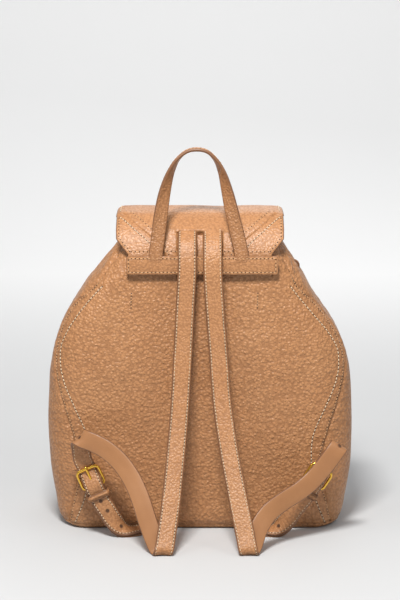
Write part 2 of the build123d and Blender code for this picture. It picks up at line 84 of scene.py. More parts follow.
# How the soft body hangs away from its sections: it slumps under the neck and draws in at the foot.
SLUMP_Z, SLUMP_SPREAD, SLUMP_OUT, SLUMP_LEFT = 222.0, 36.0, 3.0, 4.5
SIDES_IN, FOOT_IN, FOOT_TOP = 1.0, 5.0, 60.0
PLEAT_FROM, PLEAT_SPAN, PLEAT_RISE = 226.0, 60.0, 3.4
CROWN, CROWN_RUN = 0.9, 3.0
BASE_EDGE = 6.0
RING = 240
HANDS = ((-1, "left"), (1, "right"))
RIM = node_box("neck_binding")[0][2]
RIM_TOP = node_box("neck_binding")[1][2]


def bell(distance, width):
    return math.exp(-((distance / width) ** 2))


def step_up(distance, width):
    """0 well before a place and 1 well past it."""
    return 1 / (1 + math.exp(-distance / width))


def circle(count):
    """Cosines and sines of evenly spaced angles."""
    angles = [2 * math.pi * k / count for k in range(count)]
    return [(math.cos(a), math.sin(a)) for a in angles]


def smooth_line(keys, values):
    """A smooth curve through values at rising keys, as a function that reads it."""
    keys = [float(k) for k in keys]
    values = [float(v) for v in values]
    slopes = [float(s) for s in np.gradient(values, keys)]
    last = len(keys) - 2

    def read(x):
        i = min(max(bisect(keys, x) - 1, 0), last)
        h = keys[i + 1] - keys[i]
        t = min(max((x - keys[i]) / h, 0.0), 1.0)
        t2, t3 = t * t, t * t * t
        near = (2 * t3 - 3 * t2 + 1) * values[i] + (t3 - 2 * t2 + t) * h * slopes[i]
        return near + (3 * t2 - 2 * t3) * values[i + 1] + (t3 - t2) * h * slopes[i + 1]

    return read


BODY_LINES = [smooth_line(BODY_ROWS[:, 0], BODY_ROWS[:, column]) for column in (1, 2, 3, 4)]
seam_x = smooth_line(SEAM[:, 0], SEAM[:, 1])


@lru_cache(maxsize=None)
def section(z):
    """Half width, back, front and corner radius of the body at one height."""
    return [line(z) for line in BODY_LINES]


@lru_cache(maxsize=None)
def lean(z):
    """How much the half width changes with height."""
    return (section(min(z + 4, 291.0))[0] - section(max(z - 4, 0.0))[0]) / 8


@lru_cache(maxsize=None)
def half_length(z):
    """Distance along the body's outline from the middle of the back to the middle of the front."""
    half, back, front, radius = section(z)
    return 2 * (half - radius) + math.pi * radius + (front - back - 2 * radius)


def outline(z, d):
    """The point and outward normal at distance d along the right half of the body's outline."""
    half, back, front, radius = section(z)
    flat, arc, side = half - radius, math.pi / 2 * radius, front - back - 2 * radius
    if d <= flat:
        return (d, back), (0.0, -1.0)
    d -= flat
    if d <= arc:
        a = d / radius
        normal = (math.sin(a), -math.cos(a))
        return (flat + radius * normal[0], back + radius + radius * normal[1]), normal
    d -= arc
    if d <= side:
        return (half, back + radius + d), (1.0, 0.0)
    d -= side
    if d <= arc:
        a = d / radius
        normal = (math.cos(a), math.sin(a))
        return (flat + radius * normal[0], front - radius + radius * normal[1]), normal
    return (max(flat - (d - arc), 0.0), front), (0.0, 1.0)


def outline_distance(z, x):
    """Distance along the outline from its middle to where it is x from the middle plane."""
    half, _, _, radius = section(z)
    flat = half - radius
    if x <= flat:
        return x
    return flat + radius * math.asin(min((x - flat) / radius, 0.995))


@lru_cache(maxsize=None)
def seam_distance(z):
    """Distance along the outline from a panel's middle to its seam."""
    return outline_distance(z, seam_x(z))


def pleats(z, d, side):
    """How far the gathered neck stands out at a place on the outline."""
    rise = min(max((z - PLEAT_FROM) / PLEAT_SPAN, 0.0), 1.0) ** 1.5
    back_quiet = min(max((d - 66.0) / 22.0, 0.0), 1.0)
    wave = 0.5 + 0.5 * math.sin(d * 0.36 + side * 0.9 + 1.3 * math.sin(d * 0.11 + side))
    return PLEAT_RISE * rise * back_quiet * wave


def body_point(z, d, side, lift=0.0):
    """A place on the leather: side is 1 for the right half and -1 for the left."""
    (x, y), (nx, ny) = outline(z, d)
    lift += pleats(z, d, side)
    slump = bell(z - SLUMP_Z, SLUMP_SPREAD)
    foot = max(1.0 - z / FOOT_TOP, 0.0) ** 1.3
    lift += abs(nx) * (SLUMP_OUT * slump - SIDES_IN - FOOT_IN * foot)
    x -= side * SLUMP_LEFT * slump
    here = Vector((x * side, y, z)) * 0.016
    lift += 1.5 * noise.noise(here) * (0.35 if d < 70 else 1.0)
    lift += 0.45 * noise.noise(here * 3.1)
    return (side * (x + nx * lift), y + ny * lift, z - abs(nx) * lean(z) * lift * 0.4)


# ---- gathering a mesh
def place_object(name, data):
    made = bpy.data.objects.new(name, data)
    bpy.context.scene.collection.objects.link(made)
    return made


def fit(made, body, slot, *nodes):
    """Attaches a piece to the body it rides on and hides the CAD nodes that it stands in for; slot
    is not used.
    """
    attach(made, body)
    if nodes:
        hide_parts(*nodes)
    return made


class Piece:
    """The points and faces of one piece, in millimetres, with a material for each face."""

    def __init__(self, name, *materials):
        self.name = name
        self.materials = materials
        self.points = []
        self.faces = []
        self.slots = []
        self.wear = []

    def add(self, points, faces, slot=0, wear=0.0):
        start = len(self.points)
        self.points += [tuple(float(c) for c in p) for p in points]
        self.faces += [tuple(start + i for i in face) for face in faces]
        self.wear += list(wear) if hasattr(wear, "__len__") else [wear] * len(points)
        self.slots += list(slot) if hasattr(slot, "__len__") else [slot] * len(faces)

    def close(self, count, flip=False):
        """Fills the last row with one face."""
        last = len(self.points)
        face = tuple(range(last - count, last))
        self.faces.append(face[::-1] if flip else face)
        self.slots.append(0)

    def grid(self, rows, slot=0, closed=False, flip=False, wear=0.0):
        """Rows of points joined into quads; closed joins each row's end to its start."""
        high, wide = len(rows), len(rows[0])
        points = [p for row in rows for p in row]
        faces, slots = [], []
        for i in range(high - 1):
            for j in range(wide if closed else wide - 1):
                k = (j + 1) % wide
                face = (i * wide + j, i * wide + k, (i + 1) * wide + k, (i + 1) * wide + j)
                faces.append(face[::-1] if flip else face)
                slots.append(slot[j] if hasattr(slot, "__len__") else slot)
        self.add(points, faces, slots, wear)

    def build(self, level=0):
        """Makes the object, with each point's resting place kept for the textures."""
        mesh = bpy.data.meshes.new(self.name)
        points = np.array(self.points) * MM
        mesh.from_pydata(points.tolist(), [], self.faces)
        for material in self.materials:
            mesh.materials.append(material)
        mesh.polygons.foreach_set("material_index", self.slots)
        mesh.polygons.foreach_set("use_smooth", [True] * len(self.faces))
        place = mesh.attributes.new("place", "FLOAT_VECTOR", "POINT")
        place.data.foreach_set("vector", np.array(self.points).ravel())
        wear = mesh.attributes.new("wear", "FLOAT", "POINT")
        wear.data.foreach_set("value", np.array(self.wear, dtype=float))
        mesh.validate()
        piece = place_object(self.name, mesh)
        if level:
            smoother = piece.modifiers.new("smooth", "SUBSURF")
            smoother.levels = level
            smoother.render_levels = level
        return piece


def unit(v):
    v = np.array(v, dtype=float)
    length = np.linalg.norm(v, axis=-1, keepdims=True)
    return v / np.maximum(length, 1e-9)


def resample(points, step):
    """Evenly spaced distances along a dense line, and the distance of each of its points."""
    points = np.array(points, dtype=float)
    along = np.concatenate([[0], np.cumsum(np.linalg.norm(np.diff(points, axis=0), axis=1))])
    count = max(int(round(along[-1] / step)), 1)
    wanted = np.linspace(0, along[-1], count + 1)
    return wanted, along


def read_line(values, along, wanted):
    values = np.array(values, dtype=float)
    return np.stack([np.interp(wanted, along, values[:, k]) for k in range(3)], axis=1)


# A stitch at five places along it, as (thickness, height over the leather).
STITCH = [(0.35, -0.35), (0.9, 0.5), (1.0, 1.0), (0.9, 0.5), (0.35, -0.35)]
STITCH_MARKS = np.array([0.16, 0.3, 0.5, 0.7, 0.84])
# Radius of each needle hole's painted shade: a flat near-black disc laid on the leather, not a cut
# hole.
HOLE_SHADE_RADIUS = 0.66


def stitches(piece, line, normals, thread, hole_shade, pitch=3.3, radius=0.42, rise=0.25):
    """A row of stitches on a surface line, each a short thread between two needle holes painted as
    flat dark discs of shade.
    """
    wanted, along = resample(line, pitch)
    span = wanted[1] - wanted[0]
    for s in wanted[:-1]:
        marks = s + span * STITCH_MARKS
        centre = read_line(line, along, marks)
        up = unit(read_line(normals, along, marks))
        across = unit(np.cross(up, unit(centre[-1] - centre[0])))
        rows = []
        for k, (size, height) in enumerate(STITCH):
            middle = centre[k] + up[k] * rise * height
            rows.append([
                middle + (across[k] * cos + up[k] * sin) * radius * size for cos, sin in circle(6)
            ])
        piece.grid(rows, thread, closed=True)
    holes = read_line(line, along, wanted)
    ups = unit(read_line(normals, along, wanted))
    ahead = unit(np.gradient(holes, axis=0))
    # Each hole is a flat disc just over the leather, painted dark as the hole's shade.
    for centre, up, forward in zip(holes, ups, ahead):
        across = unit(np.cross(up, forward))
        rim = [
            centre + up * 0.1 + (across * cos + forward * sin) * HOLE_SHADE_RADIUS
            for cos, sin in circle(8)
        ]
        piece.add(rim, [tuple(range(8))], hole_shade)


# ---- materials
class Nodes:
    """A short way to write a material's node tree."""

    def __init__(self, name):
        self.material = bpy.data.materials.new(name)
        self.material.use_nodes = True
        self.tree = self.material.node_tree
        self.shader = self.tree.nodes["Principled BSDF"]

    def make(self, kind, values=None, **sockets):
        node = self.tree.nodes.new(kind)
        for key, value in (values or {}).items():
            setattr(node, key, value)
        self.set(node, **sockets)
        return node

    def set(self, node, *values, **sockets):
        """Links sockets, or gives them constants: the first ones in order, or by their names."""
        named = [(key.replace("_", " "), value) for key, value in sockets.items()]
        for key, value in list(enumerate(values)) + named:
            self.give(node.inputs[key], value)

    def give(self, socket, value):
        if isinstance(value, bpy.types.NodeSocket):
            self.tree.links.new(value, socket)
        else:
            socket.default_value = value

    def math(self, operation, *values):
        node = self.make("ShaderNodeMath", {"operation": operation})
        self.set(node, *values)
        return node.outputs[0]

    def times(self, value, factor):
        return self.math("MULTIPLY", value, factor)

    def weigh(self, first, *others):
        """The sum of (value, weight) pairs."""
        total = self.times(*first)
        for value, weight in others:
            total = self.math("ADD", total, self.times(value, weight))
        return total

    def noise(self, vector, scale, detail=2.0, roughness=0.5, out="Fac"):
        node = self.make("ShaderNodeTexNoise", Vector=vector, Scale=scale, Detail=detail,
                         Roughness=roughness)
        return node.outputs[out]

    def wave(self, vector, direction, scale, distortion=0.0):
        node = self.make("ShaderNodeTexWave", {"bands_direction": direction}, Vector=vector,
                         Scale=scale, Distortion=distortion)
        return node.outputs["Fac"]

    def pebbles(self, vector, scale, smoothness, low, high):
        node = self.make("ShaderNodeTexVoronoi", {"feature": "SMOOTH_F1"}, Vector=vector,
                         Scale=scale, Smoothness=smoothness)
        return self.ramp(node.outputs["Distance"], low, high)

    def ramp(self, value, low, high, low_to=0.0, high_to=1.0):
        node = self.make("ShaderNodeMapRange")
        self.set(node, value, low, high, low_to, high_to)
        return node.outputs[0]

    def mix(self, factor, first, second):
        node = self.make("ShaderNodeMix", {"data_type": "RGBA"})
        for key, value in ((0, factor), (6, first), (7, second)):
            self.give(node.inputs[key], value)
        return node.outputs[2]

    # Mixes a colour toward a tone: real stains and tone in most uses, painted shade in the pebbled
    # leather's valleys and creases.
    def stain_and_shade(self, color, amount, strength, tone):
        return self.mix(self.times(amount, strength), color, tone)

    def place(self, own=True):
        """Where a point lies at rest, in millimetres."""
        if own:
            return self.make("ShaderNodeAttribute", {"attribute_name": "place"}).outputs["Vector"]
        coordinates = self.make("ShaderNodeTexCoord").outputs["Object"]
        scale = self.make("ShaderNodeVectorMath", {"operation": "SCALE"}, Scale=1 / MM)
        self.set(scale, coordinates)
        return scale.outputs[0]

    def finish(self, color, roughness, bump=None, distance=0.3):
        self.set(self.shader, Base_Color=color, Roughness=roughness)
        if bump is not None:
            node = self.make("ShaderNodeBump", Distance=distance * MM, Height=bump)
            self.set(self.shader, Normal=node.outputs["Normal"])
        return self.material


# TAN_DEEP_AND_SHADE is the darker tan of wear, pores and the handle, and also the painted shade in
# pebble valleys and creases.
TAN = (0.460, 0.212, 0.085, 1.0)
TAN_DEEP_AND_SHADE = (0.215, 0.088, 0.030, 1.0)
TAN_PALE = (0.550, 0.280, 0.125, 1.0)
GRAIN_BEND = 1.9


def leather(name, grain=2.9, depth=0.7, tint=1.0, own=True, creases=0.12):
    """Pebbled leather: rounded pebbles between creases, pores and an uneven colour, with painted
    shade darkening the valleys between pebbles and the creases.
    """
    n = Nodes(name)
    place = n.place(own)
    bend = n.noise(place, 0.22, out="Color")
    shift = n.make("ShaderNodeVectorMath", {"operation": "MULTIPLY_ADD"})
    n.set(shift, bend, (GRAIN_BEND,) * 3, place)
    bent = shift.outputs[0]
    round_top = n.pebbles(bent, 1 / grain, 0.35, 0.72, 0.12)
    fine = n.pebbles(bent, 1.9 / grain, 0.3, 0.7, 0.1)
    rumple = n.noise(place, 0.13, 3.0, 0.6)
    crease = n.ramp(n.noise(bent, 0.33, 2.0, 0.6), 0.32, 0.62)
    pores = n.noise(place, 2.4, 2.0, 0.6)
    height = n.weigh(
        (round_top, 0.9), (fine, 0.28), (crease, creases), (pores, 0.06), (rumple, 0.3)
    )
    broad = n.ramp(n.noise(place, 0.018, 3.0, 0.55), 0.32, 0.68)
    color = n.stain_and_shade(TAN, broad, 0.4, TAN_PALE)
    # Painted shade: the valleys between pebbles are darkened toward the deep tan.
    valley_shade = n.math("SUBTRACT", 1.0, round_top)
    color = n.stain_and_shade(color, n.math("POWER", valley_shade, 1.5), 0.5, TAN_DEEP_AND_SHADE)
    color = n.stain_and_shade(color, n.ramp(pores, 0.5, 0.75), 0.14, TAN_DEEP_AND_SHADE)
    # Painted shade: the creases are darkened too.
    color = n.stain_and_shade(color, n.math("SUBTRACT", 1.0, crease), 0.16, TAN_DEEP_AND_SHADE)
    if own:
        worn = n.make("ShaderNodeAttribute", {"attribute_name": "wear"}).outputs["Fac"]
        patchy = n.times(worn, n.ramp(n.noise(place, 0.2, 3.0), 0.25, 0.6))
        color = n.stain_and_shade(color, patchy, 0.5, TAN_DEEP_AND_SHADE)
    if tint != 1.0:
        color = n.mix(1.0 - tint, color, TAN_DEEP_AND_SHADE)
    rough = n.ramp(n.math("ADD", round_top, pores), 0.4, 1.5, 0.52, 0.36)
    return n.finish(color, rough, height, depth)


def smooth_leather(name, color, deep, roughness=0.52):
    """The flesh side and the painted edges: smooth, with fine fibres and faint scuffs."""
    n = Nodes(name)
    place = n.place()
    fibre = n.noise(place, 1.1, 4.0, 0.65)
    broad = n.ramp(n.noise(place, 0.05, 3.0), 0.35, 0.65)
    tone = n.stain_and_shade(color, broad, 0.4, deep)
    tone = n.stain_and_shade(tone, n.ramp(fibre, 0.45, 0.7), 0.25, deep)
    rough = n.ramp(fibre, 0.3, 0.7, roughness - 0.07, roughness + 0.1)
    return n.finish(tone, rough, fibre, 0.12)


def thread_material():
    """Waxed cream thread with its twist."""
    n = Nodes("cream_thread")
    twist = n.wave(n.place(), "DIAGONAL", 1.1, 0.6)
    color = n.mix(twist, (0.60, 0.45, 0.29, 1), (0.82, 0.70, 0.52, 1))
    return n.finish(color, 0.6, twist, 0.1)


# The needle holes' painted shade: near-black with a faint random tone.
def hole_shade_material():
    n = Nodes("needle_hole_shade")
    shade = n.ramp(n.noise(n.place(), 0.8), 0.3, 0.7)
    color = n.mix(shade, (0.06, 0.026, 0.012, 1), (0.11, 0.05, 0.022, 1))
    return n.finish(color, 0.8)


def gold_material(own=False):
    """Polished gold plating with faint brushing and soft scratches."""
    n = Nodes("gold_plating_made" if own else "gold_plating")
    place = n.place(own)
    scratch = n.noise(place, 1.7, 5.0, 0.7)
    color = n.mix(n.ramp(scratch, 0.4, 0.7), (0.90, 0.55, 0.09, 1), (0.74, 0.40, 0.05, 1))
    n.set(n.shader, Metallic=1.0)
    return n.finish(color, n.ramp(scratch, 0.3, 0.75, 0.14, 0.28), scratch, 0.03)


def cloth_material(name, first, second, pitch=0.7):
    """Plain woven cotton: two crossed sets of yarns."""
    n = Nodes(name)
    place = n.place(False)
    weave = n.times(*[n.wave(place, axis, 0.31 / pitch, 0.8) for axis in "XZ"])
    color = n.mix(weave, first, second)
    color = n.stain_and_shade(color, n.noise(place, 0.04, 3.0), 0.3, first)
    return n.finish(color, 0.85, weave, 0.25)


def cord_material():
    n = Nodes("twisted_cord")
    twist = n.wave(n.place(False), "DIAGONAL", 0.35)
    color = n.mix(twist, (0.28, 0.13, 0.05, 1), (0.50, 0.27, 0.12, 1))
    return n.finish(color, 0.65, twist, 0.35)


HIDE = leather("pebbled_leather")
HIDE_FLAP = leather("flap_leather", grain=2.2, depth=0.28, creases=0.15)
HIDE_STRAP = leather("strap_leather", grain=2.1, depth=0.36, creases=0.15)
HIDE_HANDLE = leather("handle_leather", grain=2.2, depth=0.5, tint=0.72, creases=0.3)
# The strap backs' flesh side: its own smooth tan, set darker than the face leather as painted shade
# on the return bands.
FLESH_AND_SHADE = smooth_leather("strap_back_and_shade", (0.36, 0.165, 0.066, 1), (0.29, 0.125, 0.048, 1), 0.42)
EDGE = smooth_leather("painted_edge", (0.20, 0.088, 0.038, 1), (0.13, 0.055, 0.024, 1), 0.4)
THREAD = thread_material()
TONE_THREAD = smooth_leather("tan_thread", (0.62, 0.38, 0.20, 1), (0.50, 0.28, 0.13, 1))
HOLE_SHADE = hole_shade_material()
GOLD = gold_material()
GOLD_MADE = gold_material(True)
CLOTH = cloth_material("cotton_lining", (0.50, 0.40, 0.28, 1), (0.66, 0.56, 0.42, 1))
BOARD = cloth_material("base_board", (0.20, 0.17, 0.14, 1), (0.30, 0.26, 0.22, 1), 1.6)
CORD = cord_material()
STRAP_LOOKS = (HIDE_STRAP, EDGE, FLESH_AND_SHADE, THREAD, HOLE_SHADE)


# ---- body panels
HEIGHTS = np.concatenate([
    np.linspace(BASE_EDGE, 30, 13), np.linspace(32, 220, 95), np.linspace(222, RIM, 43)
])


def seam_drop(distance, depth, width):
    """How far a panel turns in beside a seam."""
    return -depth * bell(distance, width)


def crown(distance):
    """How far a panel swells out at a distance from its seam."""
    return CROWN * (1 - math.exp(-max(distance, 0.0) / CROWN_RUN))


def spread(count):
    """Fractions from 0 to 1, closer together at both ends."""
    t = np.linspace(0, 1, count)
    return 0.5 - 0.5 * np.cos(math.pi * t) * (1 - 0.25 * np.sin(math.pi * t))


def edge_drop(z):
    """The turned-in edge above the base seam."""
    return seam_drop(z - BASE_EDGE, 1.2, 1.6)


def puckers(z, distance, phase):
    """Small waves where the leather is drawn in by a seam."""
    return 0.38 * bell(distance, 11.0) * math.sin(z * 0.62 + phase + 1.4 * math.sin(z * 0.17))


def panel_row(z, front):
    """One row of the back or front panel, from its left seam to its right seam."""
    reach = seam_distance(z)
    total = half_length(z)
    row = []
    for t in spread(97):
        across = (2 * t - 1) * reach
        side = 1 if across >= 0 else -1
        d = abs(across)
        gap = reach - d
        lift = crown(gap) + seam_drop(gap, 1.0, 1.3) + edge_drop(z)
        lift += puckers(z, gap, 0.0 if side > 0 else 1.9)
        row.append(body_point(z, total - d if front else d, side, lift))
    return row[::-1] if front else row


def gusset_row(z, side):
    reach = seam_distance(z)
    total = half_length(z)
    row = []
    for t in spread(61):
        d = reach + (total - 2 * reach) * t
        gap = min(d - reach, total - reach - d)
        lift = seam_drop(gap, 1.3, 2.2) + edge_drop(z) + puckers(z, gap, 2.7 * side)
        row.append(body_point(z, d, side, lift))
    return row


def surface_line(points, lift=0.0, front=False):
    """Places on the back or front panel for (x, z) points, with outward normals."""
    places, normals = [], []
    for x, z in points:
        side = 1 if x >= 0 else -1
        d = outline_distance(z, abs(x))
        at = half_length(z) - d if front else d
        height = lift + crown(seam_distance(z) - d)
        places.append(body_point(z, at, side, height))
        nx, ny = outline(z, at)[1]
        normals.append((nx * side, ny, 0.0))
    return places, normals


def dense(points, count=160):
    """A smooth line through a few (x, z) points, read many times by height."""
    rising = sorted((z, x) for x, z in points)
    line = smooth_line(*zip(*rising))
    return [(line(z), float(z)) for z in np.linspace(rising[0][0], rising[-1][0], count)]


# The bold cream row inside the back seam, as (distance from the middle, height).
BOLD_ROW = [
    (121.5, 1.0 + BASE_EDGE), (111.0, 34.0), (107.4, 66.0), (108.8, 94.7), (119.5, 121.4),
    (129.8, 145.9), (133.2, 163.4), (132.0, 178.0), (123.4, 194.5), (110.8, 211.0), (88.5, 239.0),
]


def build_panel(name, front):
    piece = Piece(name + "_skin", HIDE, THREAD, HOLE_SHADE, TONE_THREAD)
    piece.grid([panel_row(z, front) for z in HEIGHTS])
    for side in (-1, 1):
        bold = [(side * x, z) for x, z in dense(BOLD_ROW)]
        stitches(piece, *surface_line(bold, 0.1, front), 1, 2, pitch=3.6, radius=0.5)
        heights = np.linspace(BASE_EDGE + 3, 246.0, 200)
        fine = [(side * (seam_x(z) - 2.4), float(z)) for z in heights]
        stitches(piece, *surface_line(fine, 0.05, front), 3, 2, pitch=3.0, radius=0.34)
    if not front:
        # The inner pocket's bar tacks show through as short upright rows.
        pocket_low, pocket_high = node_box("inner_pocket_hem")
        for x in (pocket_low[0], pocket_high[0]):
            tack = [(x, z) for z in np.linspace(pocket_high[2] - 13.0, pocket_high[2] + 1.0, 12)]
            stitches(piece, *surface_line(tack, 0.05), 3, 2, pitch=2.6, radius=0.34)
    fit(piece.build(), "bag", "leather", name)


build_panel("back_panel", False)
build_panel("front_panel", True)

for side, hand in HANDS:
    name = "side_gusset_" + hand
    gusset = Piece(name + "_skin", HIDE)
    gusset.grid([gusset_row(z, side) for z in HEIGHTS], flip=side < 0)
    fit(gusset.build(), "bag", "leather", name)


def ring(z, inset):
    """The whole outline at one height, moved inward."""
    total = half_length(z)
    right, left = (
        [body_point(z, total * t, side, -inset) for t in np.linspace(0, 1, RING // 2 + 1)]
        for side in (1, -1)
    )
    return right + left[-2:0:-1]


# The base's turned edge from the panels down to the floor, as (height, inset).
BASE_TURN = [(BASE_EDGE, 1.3), (5.4, 0.5), (4.2, 0.2), (3.0, 0.1), (1.6, 0.3), (0.7, 1.0)]
base = Piece("base_panel_skin", HIDE)
base_rows = [ring(z, inset) for z, inset in BASE_TURN]
for inset in (3.0, 8.0, 20.0, 40.0, 60.0):
    base_rows.append([(x, y, 0.0) for x, y, _ in ring(0.0, inset)])
base.grid(base_rows, closed=True, flip=True)
base.close(RING)
fit(base.build(), "bag", "leather", "base_panel")


NECK_MIDDLE_Y = -17.0


def build_rim():
    """The folded binding over the neck's edge, which follows the pleats."""
    rim = Piece("neck_binding_skin", HIDE, THREAD, HOLE_SHADE)
    low, high = RIM - 5.0, RIM_TOP
    profile = [
        (low, -0.2), (low + 0.4, -1.1), (high - 2.5, -1.3), (high - 0.6, -0.6), (high, 0.8),
        (high - 0.3, 2.4), (high - 1.6, 3.6), (low, 3.7),
    ]
    rim.grid([ring(z, inset) for z, inset in profile], closed=True)
    line = ring(low + 1.6, -1.25)
    normals = [(x, y - NECK_MIDDLE_Y, 0.0) for x, y, _ in line]
    stitches(rim, line, normals, 1, 2, pitch=3.2, radius=0.35)
    fit(rim.build(), "bag", "leather", "neck_binding")


build_rim()


# ---- strips of leather
def through(stations, step):
    """Smooth centres and width directions through a strip's stations."""
    centres = np.array([c for c, w in stations], dtype=float)
    wides = unit(np.array([w for c, w in stations], dtype=float))
    spans = np.linalg.norm(np.diff(centres, axis=0), axis=1)
    knots = np.concatenate([[0], np.cumsum(np.sqrt(spans))])
    lengths = np.concatenate([[0], np.cumsum(spans)])
    count = int(lengths[-1] / step) + 1
    marks = np.interp(np.linspace(0, lengths[-1], count), lengths, knots)

    line, wide = (
        np.array([[read(t) for read in lines] for t in marks])
        for lines in (
            [smooth_line(knots, values[:, k]) for k in range(3)] for values in (centres, wides)
        )
    )
    wide = unit(wide)
    ahead = unit(np.gradient(line, axis=0))
    wide = unit(wide - ahead * np.sum(wide * ahead, axis=1, keepdims=True))
    return line, wide, np.cross(wide, ahead), ahead


def strip_profile(half, thick, crown, row, valley_shade=0.14):
    """A strip's cross-section as (across, out, material): 0 is the face, 1 the edge, 2 the back."""
    t = thick / 2
    face = [
        (-half + 0.75, t - 0.28, 1), (-half + 1.2, t - 0.02, 0), (-half + row - 0.5, t, 0),
        (-half + row, t - valley_shade, 0), (-half + row + 0.6, t + 0.04, 0),
        (-half * 0.5, t + crown * 0.8, 0), (0.0, t + crown, 0),
    ]
    right = [(-a, b, s) for a, b, s in face[-2::-1]]
    right = [(a, b, 0) for a, b, s in right[:-1]] + [(right[-1][0], right[-1][1], 1)]
    edge = [(half - 0.12, t * 0.45, 1), (half, 0.0, 1), (half - 0.12, -t * 0.45, 1)]
    under = [(half - 0.75, -t + 0.2, 2), (half - 1.4, -t, 2), (half * 0.3, -t, 2)]
    under += [(-half * 0.3, -t, 2), (-half + 1.4, -t, 2), (-half + 0.75, -t + 0.2, 1)]
    last = [(-half + 0.12, -t * 0.45, 1), (-half, 0.0, 1), (-half + 0.12, t * 0.45, 1)]
    return face + right + edge + under + last


def strip(piece, stations, width, thick, shift=0.0, step=1.6, face_sign=-1.0, rows=True,
          stitch_row=2.0, crown=0.2, pitch=3.1, wobble=0.0):
    """A strip through its stations. Its face looks along face_sign times width cross tangent."""
    line, wide, normal, ahead = through(stations, step)
    out = normal * face_sign
    line = line + out * shift
    profile = strip_profile(width / 2, thick, crown, stitch_row)
    grid = []
    for i, place in enumerate(line):
        ripple = wobble * noise.noise(Vector(place) * 0.045)
        grid.append([place + wide[i] * a + out[i] * (b + ripple) for a, b, _ in profile])
    slots = [s for a, b, s in profile]
    wear = [1.0 if s == 1 or abs(a) > width / 2 - 1.6 else 0.0 for a, b, s in profile]
    piece.grid(grid, slots, closed=True, flip=face_sign < 0, wear=wear * len(grid))
    for cap, order in ((grid[0], 1), (grid[-1], -1)):
        piece.add(cap, [tuple(range(len(cap)))[::order * int(face_sign)]], 1)
    if rows:
        for side in (-1, 1):
            a = side * (width / 2 - stitch_row)
            row = line + wide * a + out * (thick / 2 - 0.08)
            stitches(piece, row, out, 3, 4, pitch=pitch, radius=0.36)
    return line, wide, out, ahead


# ---- yoke and flap
FLAP_HALF = 80.0
FLAP_LEATHER = 2.2
TIP_Z = node_box("flap_main")[0][2]
TIP_RADIUS = 45.0
LIP_Z = 288.6
SLOT_HALF = 21.5
SLOT_DEEP, SLIT_HALF, SLIT_DEEP = 1.9, 2.4, 2.6
LIP_RISE, OVERLAY_THICK = 2.6, 1.15
YOKE_Y = -38.0
CORNER_DROOP = 2.8
FACE_COLUMNS = np.sign(np.linspace(-1, 1, 215)) * np.abs(np.linspace(-1, 1, 215)) ** 0.94
UNDER_COLUMNS = np.linspace(1, -1, 81)
# The sheet's centre line from the bar over the hinge to the tip, as (y, z).
SHEET_LINE = [
    (-71.3, 249.2), (-71.2, 262.0), (-66.8, 278.0), (-57.5, 292.0), (-41.0, 303.8),
    (-22.0, 307.4), (8.0, 306.4), (30.0, 296.2), (42.0, 276.0), (49.5, 250.0), (58.5, 222.0),
    (68.5, 194.0), (75.5, 168.0), (77.0, TIP_Z),
]


def sheet_rows():
    """Places along the sheet with outward directions: close together near the back."""
    points = np.array(SHEET_LINE)
    spans = np.linalg.norm(np.diff(points, axis=0), axis=1)
    knots = np.concatenate([[0], np.cumsum(spans)])
    marks = np.concatenate([np.arange(0, 84, 0.75), np.linspace(84, knots[-1], 130)])
    lines = [smooth_line(knots, points[:, k]) for k in (0, 1)]
    line = np.array([[read(s) for read in lines] for s in marks])
    ahead = unit(np.gradient(line, axis=0))
    return line, np.stack([-ahead[:, 1], ahead[:, 0]], 1), marks


def sheet_half(y, z):
    """Half width of the yoke and flap at a place along them."""
    if y < -40:
        return float(np.interp(z, [250.0, 270.0, 284.0, 293.0], [68.0, 68.4, 79.6, FLAP_HALF]))
    half = FLAP_HALF + 4.0 * (330 - z) / (330 - TIP_Z)
    drop = TIP_Z + TIP_RADIUS - z
    if drop > 0:
        half -= TIP_RADIUS - math.sqrt(max(TIP_RADIUS**2 - drop**2, 0.0))
    return half


# The overlay's edge on the yoke, as (z, distance from the middle).
OVERLAY = np.array([
    (262.0, 31.5), (270.0, 33.0), (279.0, 38.5), (287.0, 48.5), (295.5, 60.5), (304.5, 73.0),
    (306.0, 76.0),
])
overlay_x = smooth_line(OVERLAY[:, 0], OVERLAY[:, 1])
DOT_ROW = [(29.5, 269.5), (35.0, 281.7), (48.0, 292.7), (60.0, 301.2), (66.0, 304.8)]
CREAM_ROW = [(38.5, 270.5), (49.0, 281.0), (62.0, 291.2), (77.0, 302.0)]


def sheet_lift(x, y, z, back):
    """Height of the sheet's outer face over its plain curve."""
    a = abs(x)
    here = Vector((x, y, z)) * 0.03
    lift = 0.7 * noise.noise(here) + 0.25 * noise.noise(here * 3.3)
    if not back:
        return lift
    edge = overlay_x(min(max(z, OVERLAY[0, 0]), OVERLAY[-1, 0]))
    lift += OVERLAY_THICK * step_up(edge - a, 0.28)
    lift -= 0.5 * bell(a - edge - 0.9, 0.8)
    # The straps come out of a slot under the overlay's lip, either side of a middle slit.
    over = step_up(z - LIP_Z, 0.3)
    bump = math.exp(-max(z - LIP_Z, 0.0) / 7.0) * step_up(SLOT_HALF + 2.0 - a, 1.6)
    lift += over * LIP_RISE * bump
    lift -= (1 - over) * step_up(SLOT_HALF - a, 0.3) * SLOT_DEEP
    lift -= (1 - over) * step_up(SLIT_HALF - a, 0.3) * SLIT_DEEP
    return lift


def sheet_point(spot, out, t, lift=0.0, back=None):
    """A place on the sheet at a fraction t of its half width; only the back has the overlay."""
    y, z = spot
    x = sheet_half(y, z) * t
    lift += sheet_lift(x, y, z, y < YOKE_Y if back is None else back)
    droop = CORNER_DROOP * max(abs(t) - 0.9, 0.0) ** 2 / 0.01
    top = bell(z - 309, 14) if z > 290 or y < 10 else 0.0
    fall = droop * min(top, 1.0) * (1.0 if x < 0 else 0.6)
    return (x, y + out[0] * lift, z + out[1] * lift - fall)


